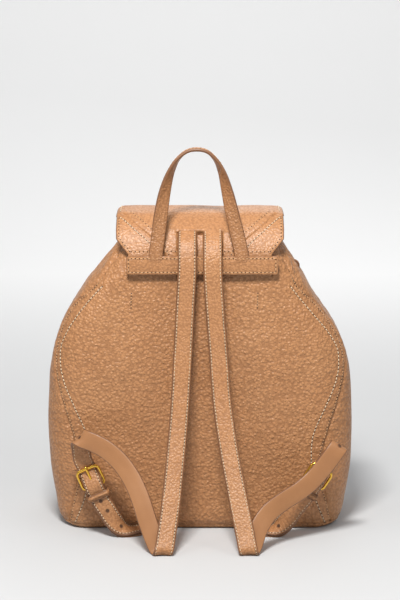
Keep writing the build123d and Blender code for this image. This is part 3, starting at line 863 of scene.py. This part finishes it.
def build_flap():
    sheet = Piece("flap_skin", HIDE_FLAP, EDGE, HIDE_FLAP, THREAD, HOLE_SHADE, TONE_THREAD)
    line, out, marks = sheet_rows()
    wide, under_wide = len(FACE_COLUMNS), len(UNDER_COLUMNS)
    rise = FLAP_LEATHER / 2
    grid = []
    for at, way in zip(line, out):
        half = sheet_half(*at)
        trim = (half - 0.6) / half
        face = [
            sheet_point(at, way, t * trim, rise - 0.5 * math.exp(-half * (1 - abs(t)) / 0.9))
            for t in FACE_COLUMNS
        ]
        under = [sheet_point(at, way, t * trim, -rise, False) for t in UNDER_COLUMNS]
        grid.append(
            face + [sheet_point(at, way, 1.0)] + under + [sheet_point(at, way, -1.0)]
        )
    slots = [0] * (wide - 1) + [1, 1] + [2] * (under_wide - 1) + [1, 1]
    sheet.grid(grid, slots, closed=True, flip=True)
    for row, flip in ((grid[0], True), (grid[-1], False)):
        top = np.array(row[:wide])
        low = np.array(row[wide + 1:wide + 1 + under_wide])[::-1]
        low = np.stack([np.interp(top[:, 0], low[:, 0], low[:, k]) for k in range(3)], 1)
        sheet.grid([list(top), list(low)], 1, flip=flip)

    def on_sheet(points, count=90):
        """Places for (x, mark) points along the sheet, with directions."""
        keys = range(len(points))
        places, ups = [], []
        for k in np.linspace(0, len(points) - 1, count):
            x, m = (float(np.interp(k, keys, [p[i] for p in points])) for i in (0, 1))
            at, way = (
                np.array([np.interp(m, marks, values[:, i]) for i in (0, 1)])
                for values in (line, out)
            )
            way = unit(way)
            places.append(sheet_point(at, way, x / sheet_half(*at), rise))
            ups.append((0.0, way[0], way[1]))
        return places, ups

    back_count = int(np.argmax(line[:, 0] > YOKE_Y))

    def mark_at(z):
        return float(np.interp(z, line[:back_count, 1], marks[:back_count]))

    for side in (-1, 1):
        dots = [(side * x, mark_at(z)) for x, z in DOT_ROW]
        dots.append((side * 71.0, mark_at(305.0) + 5.0))
        stitches(sheet, *on_sheet(dots), 5, 4, pitch=3.9, radius=0.3, rise=0.05)
        cream = [(side * x, mark_at(z)) for x, z in CREAM_ROW]
        stitches(sheet, *on_sheet(cream), 3, 4, pitch=3.6, radius=0.5)
        low = [(side * 66.5, mark_at(272.6)), (side * 77.0, mark_at(284.6)),
               (side * 77.4, mark_at(301.0))]
        stitches(sheet, *on_sheet(low), 5, 4, pitch=3.7, radius=0.36)
        edge = []
        for k in range(back_count + 6, len(line), 4):
            if line[k][1] > TIP_Z + 5:
                edge.append((side * (sheet_half(*line[k]) - 4.0), float(marks[k])))
        stitches(sheet, *on_sheet(edge, 400), 3, 4, pitch=3.7, radius=0.42)
        foot = [(side * 2.0, mark_at(272.4)), (side * 65.0, mark_at(272.2))]
        stitches(sheet, *on_sheet(foot), 5, 4, pitch=3.9, radius=0.3, rise=0.05)
    end = [(-40.0, float(marks[-1]) - 4.0), (40.0, float(marks[-1]) - 4.0)]
    stitches(sheet, *on_sheet(end), 3, 4, pitch=3.7, radius=0.42)
    made = sheet.build()
    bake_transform(made)
    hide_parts("flap_yoke", "flap_main", "flap_lining")


build_flap()


# ---- the bar and the handle
def rounded(low, high, corner, count=7):
    """A rounded rectangle's points in a plane, corner by corner."""
    places = []
    for k, (sx, sy) in enumerate(((1, 1), (-1, 1), (-1, -1), (1, -1))):
        cx = high[0] if sx > 0 else low[0]
        cy = high[1] if sy > 0 else low[1]
        for i in range(count):
            a = math.pi / 2 * (k + i / (count - 1))
            places.append((cx - sx * corner + corner * math.cos(a),
                           cy - sy * corner + corner * math.sin(a)))
    return places


BAR_RISE = 2.5


def build_bar():
    low, high = node_box("back_bar")
    low[2] += BAR_RISE
    high[2] += BAR_RISE
    bar = Piece("back_bar_skin", HIDE_STRAP, EDGE, TONE_THREAD, HOLE_SHADE)
    centre = np.array([(low[0] + high[0]) / 2, (low[2] + high[2]) / 2])
    half = np.array([(high[0] - low[0]) / 2, (high[2] - low[2]) / 2])

    def loop(inset, y):
        inset = np.array([inset, inset])
        spots = rounded(centre - half + inset, centre + half - inset, max(2.6 - inset[0], 0.8))
        return [(x, y, z) for x, z in spots]

    back = high[1]
    face = low[1]
    rows = [loop(0.5, back), loop(0.0, back - 0.5), loop(0.0, face + 0.8), loop(0.35, face + 0.2)]
    rows += [loop(0.9, face - 0.05), loop(1.6, face - 0.1), loop(2.3, face + 0.05)]
    rows += [loop(3.0, face - 0.1), loop(5.0, face - 0.35), loop(7.5, face - 0.4)]
    bar.grid(rows[:4], 1, closed=True, flip=True)
    bar.grid(rows[3:], 0, closed=True, flip=True)
    bar.add(rows[-1], [tuple(range(len(rows[-1])))[::-1]], 0)
    bar.add(rows[0], [tuple(range(len(rows[0])))], 1)
    line = loop(2.3, face - 0.05)
    line.append(line[0])
    stitches(bar, line, [(0, -1, 0)] * len(line), 2, 3, pitch=3.7, radius=0.36, rise=0.12)
    fit(bar.build(), "bag", "strap_leather", "back_bar", "handle_ends")


build_bar()

HANDLE_FOOT_Y = node_box("back_bar")[1][1] - 1.0
HANDLE = [
    ((-41.9, HANDLE_FOOT_Y, 258.0), (1.0, 0.0, 0.0)),
    ((-41.7, HANDLE_FOOT_Y, 268.7), (1.0, 0.0, 0.0)),
    ((-39.3, -73.2, 288.0), (1.0, 0.05, 0.05)),
    ((-36.4, -71.5, 311.0), (0.93, 0.35, 0.1)),
    ((-32.6, -69.5, 331.5), (0.75, 0.65, 0.2)),
    ((-27.6, -68.0, 347.5), (0.5, 0.86, 0.2)),
    ((-20.6, -66.5, 360.0), (0.25, 0.97, 0.1)),
    ((-12.0, -65.5, 367.0), (0.08, 1.0, 0.0)),
    ((-3.0, -65.2, 368.8), (0.0, 1.0, 0.0)),
    ((6.5, -65.5, 366.8), (-0.08, 1.0, 0.0)),
    ((14.6, -66.5, 359.2), (-0.25, 0.97, 0.1)),
    ((20.6, -68.0, 347.5), (-0.5, 0.86, 0.2)),
    ((25.2, -69.5, 331.5), (-0.75, 0.65, 0.2)),
    ((29.9, -71.5, 311.0), (-0.93, 0.35, 0.1)),
    ((35.4, -73.2, 288.0), (-1.0, 0.05, 0.05)),
    ((39.2, HANDLE_FOOT_Y, 268.7), (-1.0, 0.0, 0.0)),
    ((39.4, HANDLE_FOOT_Y, 258.0), (-1.0, 0.0, 0.0)),
]

handle = Piece("handle_strip", HIDE_HANDLE, EDGE, HIDE_HANDLE, TONE_THREAD, HOLE_SHADE)
strip(handle, HANDLE, 13.6, 3.2, step=2.0, crown=0.5, pitch=3.6)
made = handle.build(1)
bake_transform(made)
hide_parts("top_handle")


# ---- shoulder straps
STRAP_WIDTH = 18.0
STRAP_THICK = 2.8
TAIL_LIFT = 3.2
# The strap's fall from the yoke to its fold on the floor, the same on both sides, as (y, z).
FALL = [
    (-57.5, 293.6), (-65.4, 288.4), (-74.6, 281.0), (-79.6, 272.0), (-82.6, 258.0),
    (-84.5, 225.0), (-89.0, 178.0), (-98.0, 132.0), (-113.0, 87.6), (-133.0, 44.9),
    (-149.0, 16.0), (-154.6, 7.4), (-154.4, 4.6), (-151.6, 3.6), (-148.6, 5.0),
]
# The lower strap's end on the floor and under the bag, on the left side.
TAIL_END = [((-67.5, -89.5, 6.2), (-0.05, 0.99, 0.12)), ((-60.0, -84.5, 5.0), (-0.55, 0.83, 0.0)),
            ((-55.5, -80.5, 5.0), (-0.68, 0.73, 0.0))]
ANCHOR = [((-51.9, -77.0, 5.0), (-0.84, 0.54, 0.0)), ((-50.6, -73.2, 5.0), (-0.90, 0.43, 0.0))]
# For each side: x and tilt down the fall; the band's way back up from the floor as
# (x, y, z, width's x, width's z); the buckle's two bars; and the tail's start.
SIDES = {
    "left": dict(
        fall=[(-12.0, 0.0)] * 5 + [
            (-13.8, 0.0), (-16.2, 0.0), (-18.8, 0.0), (-22.6, -0.10), (-27.1, -0.12),
            (-31.4, -0.08), (-33.0, -0.02), (-34.2, 0.03), (-35.6, 0.08), (-37.2, 0.15),
        ],
        band=[
            (-40.2, -146.0, 9.0, 1.0, 0.26), (-48.2, -138.0, 27.5, 0.94, 0.33),
            (-56.0, -128.5, 49.0, 0.92, 0.38), (-63.8, -120.5, 64.5, 0.87, 0.50),
            (-75.0, -113.0, 79.0, 0.74, 0.67), (-88.0, -108.0, 89.5, 0.60, 0.80),
            (-100.0, -105.0, 95.5, 0.54, 0.84), (-108.0, -103.2, 98.2, 0.62, 0.78),
            (-113.0, -99.0, 98.6, 0.70, 0.71), (-114.0, -94.2, 94.5, 0.79, 0.61),
            (-113.2, -91.2, 87.0, 0.88, 0.46),
        ],
        pivot=(-100.3, -92.6, 49.7),
        top=(-107.9, -93.6, 67.3),
        tail=[
            ((-88.7, -95.6, 27.6), (0.87, 0.10, 0.47)), ((-83.0, -95.2, 18.0), (0.78, 0.30, 0.55)),
            ((-76.0, -93.4, 10.2), (0.50, 0.75, 0.42)),
        ],
    ),
    "right": dict(
        fall=[(12.0, 0.0)] * 5 + [
            (13.8, 0.0), (17.4, 0.0), (20.9, 0.10), (27.6, 0.17), (36.2, 0.20), (42.4, 0.16),
            (44.2, 0.08), (45.2, 0.0), (46.2, -0.08), (47.2, -0.20),
        ],
        band=[
            (49.4, -146.0, 9.5, 1.0, -0.36), (54.5, -139.5, 22.5, 0.86, -0.50),
            (64.5, -130.0, 35.0, 0.62, -0.79), (79.5, -120.5, 44.0, 0.44, -0.90),
            (94.5, -112.5, 51.5, 0.52, -0.85), (107.5, -107.5, 61.5, 0.69, -0.72),
            (118.4, -104.8, 74.0, 0.80, -0.60), (127.0, -102.8, 85.5, 0.81, -0.59),
            (131.4, -99.0, 90.6, 0.82, -0.57), (131.6, -94.2, 89.6, 0.83, -0.55),
            (128.0, -91.2, 82.5, 0.84, -0.53),
        ],
        pivot=(106.9, -92.6, 51.8),
        top=(117.2, -93.6, 68.0),
        tail=[
            ((91.0, -95.6, 29.6), (0.82, -0.08, -0.56)),
            ((84.0, -95.2, 19.4), (0.74, -0.28, -0.60)),
            ((76.0, -93.4, 10.6), (0.50, -0.75, -0.42)),
        ],
    ),
}
# The strap's path at the buckle, as (along, out) from the pivot bar toward the top bar.
BUCKLE_PATH = [
    (28.5, -3.0), (20.5, -3.2), (16.5, -2.3), (4.5, 3.8), (0.0, 4.7), (-5.0, 3.6),
    (-14.0, TAIL_LIFT),
]
WIRE_HALF, RING_HALF = 1.3, 1.55
KEEPER_AT = -8.5
KEEPER_WIDE = 6.5


TUBE_SIDES = 16


def tube(piece, path, slot, size, closed=False, up=(0, -1, 0)):
    """A smooth rod along a dense path, with a (width, height) at each point."""
    path = np.array(path, dtype=float)
    if closed:
        ahead = unit(np.roll(path, -1, 0) - np.roll(path, 1, 0))
    else:
        ahead = unit(np.gradient(path, axis=0))
    across = unit(np.cross(ahead, np.array(up, dtype=float)))
    over = np.cross(across, ahead)
    rows = []
    for k, place in enumerate(path):
        wide, tall = size[k] if hasattr(size[0], "__len__") else size
        rows.append([
            place + across[k] * wide * cos + over[k] * tall * sin for cos, sin in circle(TUBE_SIDES)
        ])
    if closed:
        rows.append(rows[0])
    piece.grid(rows, slot, closed=True)
    if not closed:
        piece.add(rows[0], [tuple(range(TUBE_SIDES))], slot)
        piece.add(rows[-1], [tuple(range(TUBE_SIDES))[::-1]], slot)


def curve(points, count):
    """A smooth dense line through a few points."""
    points = np.array(points, dtype=float)
    spans = np.linalg.norm(np.diff(points, axis=0), axis=1)
    knots = np.concatenate([[0], np.cumsum(np.sqrt(spans))])
    marks = np.linspace(0, knots[-1], count)
    lines = [smooth_line(knots, points[:, k]) for k in range(3)]
    return [[read(m) for read in lines] for m in marks]


def mirrored(stations):
    """The left side's stations, moved to the right side."""
    return [((-x, y, z), (a, -b, -c)) for (x, y, z), (a, b, c) in stations]


def build_side(name, fall, band, pivot, top, tail):
    """A shoulder strap with its lower strap, buckle, prong and keeper."""
    tail_end, anchor = (
        stations if name == "left" else mirrored(stations) for stations in (TAIL_END, ANCHOR)
    )
    tail = tail + tail_end
    run = [((x, y, z), (1.0, 0.0, tilt)) for (x, tilt), (y, z) in zip(fall, FALL)]
    run += [((x, y, z), (a, 0.0, c)) for x, y, z, a, c in band]
    pivot = np.array(pivot)
    reach = np.array(top) - pivot
    length = float(np.linalg.norm(reach))
    along = unit(reach)
    bar = unit(np.cross(along, (0.0, -1.0, 0.0)))
    out = np.cross(bar, along)

    def local(a, o, across=0.0):
        return tuple(pivot + along * a + out * o + bar * across)

    wide = tuple(bar if bar[0] > 0 else -bar)
    through_buckle = [(local(a, o), wide) for a, o in BUCKLE_PATH]
    body = "strap_" + name

    strap = Piece(body + "_strip", *STRAP_LOOKS)
    stations = run + through_buckle + tail
    line, wides, outs, ahead = strip(strap, stations, STRAP_WIDTH, STRAP_THICK, wobble=0.5)
    # Round holes for the prong, on both faces: a raised rim round a flat floor painted dark as the
    # hole's shade.
    for spot, _ in (through_buckle[-1], tail[0], tail[2], run[-3]):
        k = int(np.argmin(np.linalg.norm(line - np.array(spot), axis=1)))
        for face in (-1, 1):
            up = outs[k] * face
            rim, dip = (
                [line[k] + up * (STRAP_THICK / 2 + rise)
                 + (wides[k] * cos + ahead[k] * sin) * radius for cos, sin in circle(18)]
                for rise, radius in ((0.28, 2.0), (0.2, 1.5))
            )
            strap.grid([rim, dip], 1, closed=True, flip=face > 0)
            strap.add(dip, [tuple(range(18))[::face]], 4)
    fit(strap.build(), body, "strap_leather", "shoulder_strap_" + name)

    lower = Piece("lower_strap_" + name + "_strip", *STRAP_LOOKS)
    straight = [(local(a, TAIL_LIFT), wide) for a in (-3.0, -7.0, -14.0)]
    strip(lower, straight + tail + anchor, STRAP_WIDTH, 2.6, shift=-TAIL_LIFT)
    fold = [(-17.0, -1.0), (-8.0, -1.1), (-2.0, -1.9), (1.0, -2.0), (2.3, 0.0), (1.0, 2.0),
            (-2.0, 1.9), (-8.0, 1.1)]
    fold = [(local(a, o), wide) for a, o in fold]
    strip(lower, fold, STRAP_WIDTH - 0.4, 1.2, step=0.7, rows=False)
    fit(lower.build(), body, "strap_leather", "lower_strap_" + name)

    frame_piece = Piece("buckle_ring_" + name, GOLD_MADE)
    half = 11.0
    corners = rounded((-half, 0.0), (half, length), 4.2, 9)
    ring_path = []
    for spot, after in zip(corners, corners[1:] + corners[:1]):
        steps = max(int(math.dist(spot, after)), 1)
        for t in np.arange(steps) / steps:
            ring_path.append([spot[j] + (after[j] - spot[j]) * t for j in (0, 1)])
    sizes = [(RING_HALF if a > length - 1 else WIRE_HALF, 1.45) for x, a in ring_path]
    tube(frame_piece, [local(a, 0.0, x) for x, a in ring_path], 0, sizes, True, out)
    fit(frame_piece.build(), body, "gold_metal", "buckle_frame_" + name)

    prong = Piece("prong_pin_" + name, GOLD_MADE)
    pin = [(-1.2, 2.4), (0.8, 2.9), (5.0, 2.7), (11.0, 2.3), (length - 3.0, 2.4),
           (length - 0.2, 3.0), (length + 1.8, 2.5), (length + 2.6, 1.5)]
    path = curve([local(a, o) for a, o in pin], 60)
    taper = [(1.25 - 0.25 * t, 1.1 - 0.2 * t) for t in np.linspace(0, 1, 60) ** 2]
    tube(prong, path, 0, taper, False, out)
    eye = [local(2.05 * cos, 2.05 * sin) for cos, sin in circle(28)]
    tube(prong, eye, 0, (0.6, 1.2), True, bar)
    fit(prong.build(), "prong_" + name, "gold_metal", "buckle_prong_" + name)

    keeper = Piece("keeper_band_" + name, *STRAP_LOOKS)
    low, high = -2.2, TAIL_LIFT + STRAP_THICK / 2 + 1.5
    half = STRAP_WIDTH / 2 + 1.1
    band = rounded((-half, low), (half, high), 1.9, 6)
    band = band[9:] + band[:10]
    spots = [(local(KEEPER_AT, o, x), tuple(along)) for x, o in band]
    strip(keeper, spots, KEEPER_WIDE, 1.3, step=0.6, face_sign=1.0, stitch_row=1.3, rows=False)
    fit(keeper.build(), body, "strap_leather", "keeper_loop_" + name)


for side_name, side_values in SIDES.items():
    build_side(side_name, **side_values)


# ---- the side loop
def build_loop():
    low, high = node_box("side_loop")
    middle = (low + high) / 2
    centre = np.array([low[0] - 1.6, middle[1], middle[2]])
    loop = Piece("side_loop_strip", HIDE_STRAP, EDGE, FLESH_AND_SHADE)
    spots = []
    for k in range(13):
        a = math.radians(-115 + 230 * k / 12)
        place = centre + np.array([5.6 * math.cos(a), 0, 5.2 * math.sin(a)])
        spots.append((tuple(place), (0.0, 1.0, 0.0)))
    strip(loop, spots, 7.0, 1.8, step=0.8, rows=False, face_sign=1.0)
    fit(loop.build(), "bag", "strap_leather", "side_loop")


build_loop()


# ---- inside of the bag
LINING_INSET = 3.4
LINING_TURN_Z, LINING_FLOOR_Z = 9.0, 6.6
CHANNEL_INSET, CHANNEL_HALF_HIGH, CHANNEL_HALF_THICK = 9.3, 8.0, 4.6


def build_lining():
    lining = Piece("lining_cloth", CLOTH)
    rows = []
    for z in np.linspace(RIM, LINING_TURN_Z, 110):
        row = []
        for x, y, _ in ring(z, LINING_INSET):
            wave = 0.35 * noise.noise(Vector((x, y, z)) * 0.05)
            row.append((x * (1 - 0.004 * wave), y * (1 - 0.006 * wave), z))
        rows.append(row)
    for inset in (8.0, 20.0, 40.0, 60.0):
        rows.append([(x, y, LINING_FLOOR_Z) for x, y, _ in ring(LINING_TURN_Z, inset)])
    lining.grid(rows, closed=True)
    lining.close(RING, flip=True)
    fit(lining.build(), "bag", "cloth", "lining")


def build_channel():
    """The closed tube of cloth round the inside of the neck that the cord runs in."""
    channel = Piece("channel_cloth", CLOTH)
    low, high = node_box("drawstring_channel")
    middle = (low[2] + high[2]) / 2
    profile = [
        (middle + CHANNEL_HALF_HIGH * sin, CHANNEL_INSET + CHANNEL_HALF_THICK * cos)
        for cos, sin in circle(16) + circle(16)[:1]
    ]
    channel.grid([ring(z, inset) for z, inset in profile], closed=True)
    fit(channel.build(), "bag", "cloth", "drawstring_channel")


def build_pocket():
    low, high = node_box("inner_pocket")
    hem_low, hem_high = node_box("inner_pocket_hem")
    pocket = Piece("pocket_cloth", CLOTH)
    rows = []
    for z in np.linspace(low[2], hem_high[2], 60):
        row = []
        for x in np.linspace(low[0], high[0], 70):
            edge = min(x - low[0], high[0] - x, z - low[2])
            bag_out = 2.2 * (1 - math.exp(-max(edge, 0) / 12.0))
            ripple = 0.8 * noise.noise(Vector((x, 3.0, z)) * 0.04)
            hem = 0.5 if z > hem_low[2] else 0.0
            row.append((x, low[1] + bag_out + ripple * bag_out / 2.2 + hem, z))
        rows.append(row)
    pocket.grid(rows)
    made = fit(pocket.build(), "bag", "cloth", "inner_pocket", "inner_pocket_hem")
    thicken = made.modifiers.new("thickness", "SOLIDIFY")
    thicken.thickness = 1.0 * MM


build_lining()
build_channel()
build_pocket()

# ---- the drawstring
# It runs round the inside of the neck; its two ends come out of the eyelets and hang.
CORD_WIDE = 3.8
CORD_END = [(16.0, 26.0, 270.0), (10.0, 33.5, 258.0), (5.0, 39.5, 243.0), (5.0, 51.0, 219.5),
            (7.0, 54.2, 212.0)]


def cord_curve(name, points, *nodes):
    """A round cord along a smooth line through a few points."""
    data = bpy.data.curves.new(name, "CURVE")
    data.dimensions = "3D"
    data.bevel_depth = CORD_WIDE / 2 * MM
    data.bevel_resolution = 5
    data.resolution_u = 16
    data.use_fill_caps = True
    line = data.splines.new("NURBS")
    line.points.add(len(points) - 1)
    for spot, (x, y, z) in zip(line.points, points):
        spot.co = (x * MM, y * MM, z * MM, 1.0)
    line.order_u = 4
    line.use_endpoint_u = True
    data.materials.append(CORD)
    return fit(place_object(name, data), "bag", "cord", *nodes)


TIP_LENGTH = 10.0
# The tip's outline, as (distance from the cord's end, radius).
TIP_OUTLINE = [(-0.6, 1.95), (-0.2, 2.3), (0.6, 2.55), (TIP_LENGTH - 1.6, 2.6),
               (TIP_LENGTH - 0.6, 2.3), (TIP_LENGTH, 1.5)]
ends = [
    cord_curve("drawstring_end_" + name, [(side * x, y, z) for x, y, z in CORD_END])
    for side, name in HANDS
]
for end, (side, name) in zip(ends, HANDS):
    last, before = (np.array([side * x, y, z]) for x, y, z in (CORD_END[-1], CORD_END[-2]))
    down = unit(last - before)
    tip = Piece("cord_tip_" + name, GOLD_MADE)
    tube(tip, [last + down * mark for mark, _ in TIP_OUTLINE], 0,
         [(radius, radius) for _, radius in TIP_OUTLINE], up=(1, 0, 0))
    tip = fit(tip.build(), "bag", "gold_metal", "drawstring_tips")
# The rest of the cord lies inside the neck, a way in from the leather.
NECK_Z, NECK_INSET = 270.0, 13.0
half, back, front, _ = section(NECK_Z)
wide, front, back = half - NECK_INSET, front - NECK_INSET, back + NECK_INSET
neck = [(-16.0, 24.0), (-16.0, front + 1), (-34.0, front), (6 - wide, front - 4),
        (-wide, front - 16), (-wide, back + 18), (6 - wide, back + 5), (-34.0, back)]
neck += [(0.0, back)] + [(-x, y) for x, y in neck[::-1]]
cord_curve("drawstring_neck", [(x, y, NECK_Z) for x, y in neck], "drawstring")

# ---- kept CAD nodes
KEPT = {
    "base_stiffener": BOARD,
    "drawstring_slider": leather("slider_leather", grain=1.6, depth=0.2, own=False),
    "eyelets": GOLD,
    "snap_socket": GOLD,
    "snap_stud": GOLD,
}
for name, material in KEPT.items():
    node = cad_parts[name]
    node.data.materials.clear()
    node.data.materials.append(material)


# ---- floor, light and camera
def build_floor():
    floor = Piece("floor")
    rows = []
    for y, z in [(-2600, 0), (1400, 0), (1800, 20), (2300, 180), (2700, 600), (2800, 1400),
                 (2800, 3200)]:
        rows.append([(x, y, z - 0.2) for x in (-3500, -1200, 0, 1200, 3500)])
    floor.grid(rows)
    made = floor.build(2)
    n = Nodes("studio_paper")
    place = n.make("ShaderNodeTexCoord").outputs["Object"]
    tone = n.noise(place, 3.0, 3.0)
    split = n.make("ShaderNodeSeparateXYZ")
    n.set(split, place)
    far = n.ramp(split.outputs["Y"], 0.1, 1.5)
    near_tone = n.mix(tone, (0.55, 0.56, 0.57, 1), (0.57, 0.58, 0.59, 1))
    n.finish(n.mix(far, near_tone, (0.92, 0.92, 0.92, 1)), 0.9)
    made.data.materials.append(n.material)


build_floor()


def lamp(name, at, toward, size, power, color=(1, 1, 1)):
    data = bpy.data.lights.new(name, "AREA")
    data.shape = "RECTANGLE"
    data.size, data.size_y = size
    data.energy = power
    data.color = color
    made = place_object(name, data)
    made.location = at
    made.rotation_euler = (Vector(toward) - Vector(at)).to_track_quat("-Z", "Y").to_euler()


lamp("key", (-0.12, -0.78, 1.22), (0, -0.05, 0.3), (0.3, 0.22), 21, (1.0, 0.985, 0.96))
lamp("left", (-1.2, -0.9, 1.2), (0, 0, 0.3), (0.5, 0.5), 2.4, (1.0, 0.99, 0.98))
lamp("right", (1.2, -0.9, 1.2), (0, 0, 0.3), (0.5, 0.5), 3.0, (1.0, 0.99, 0.98))
lamp("front", (0.3, 1.5, 1.3), (0, 0, 0.15), (1.0, 1.0), 5)
lamp("backdrop", (0.0, 1.3, 1.6), (0, 2.6, 0.5), (3.0, 0.6), 13)
world = bpy.data.worlds.new("studio")
world.use_nodes = True
world.node_tree.nodes["Background"].inputs["Color"].default_value = (0.98, 0.99, 1.0, 1)
world.node_tree.nodes["Background"].inputs["Strength"].default_value = 0.38
bpy.context.scene.world = world
bpy.context.scene.view_settings.view_transform = "Standard"

CAMERA_AWAY, CAMERA_HEIGHT, CAMERA_PITCH = 1.672, 0.495, 9.52
view = bpy.data.cameras.new("camera")
view.lens = 102.6
view.sensor_width = 36.0
view.clip_end = 50
camera = place_object("camera", view)
camera.location = (0.0, -CAMERA_AWAY, CAMERA_HEIGHT)
camera.rotation_euler = (math.radians(90 - CAMERA_PITCH), 0, 0)
bpy.context.scene.camera = camera

bpy.context.view_layer.update()
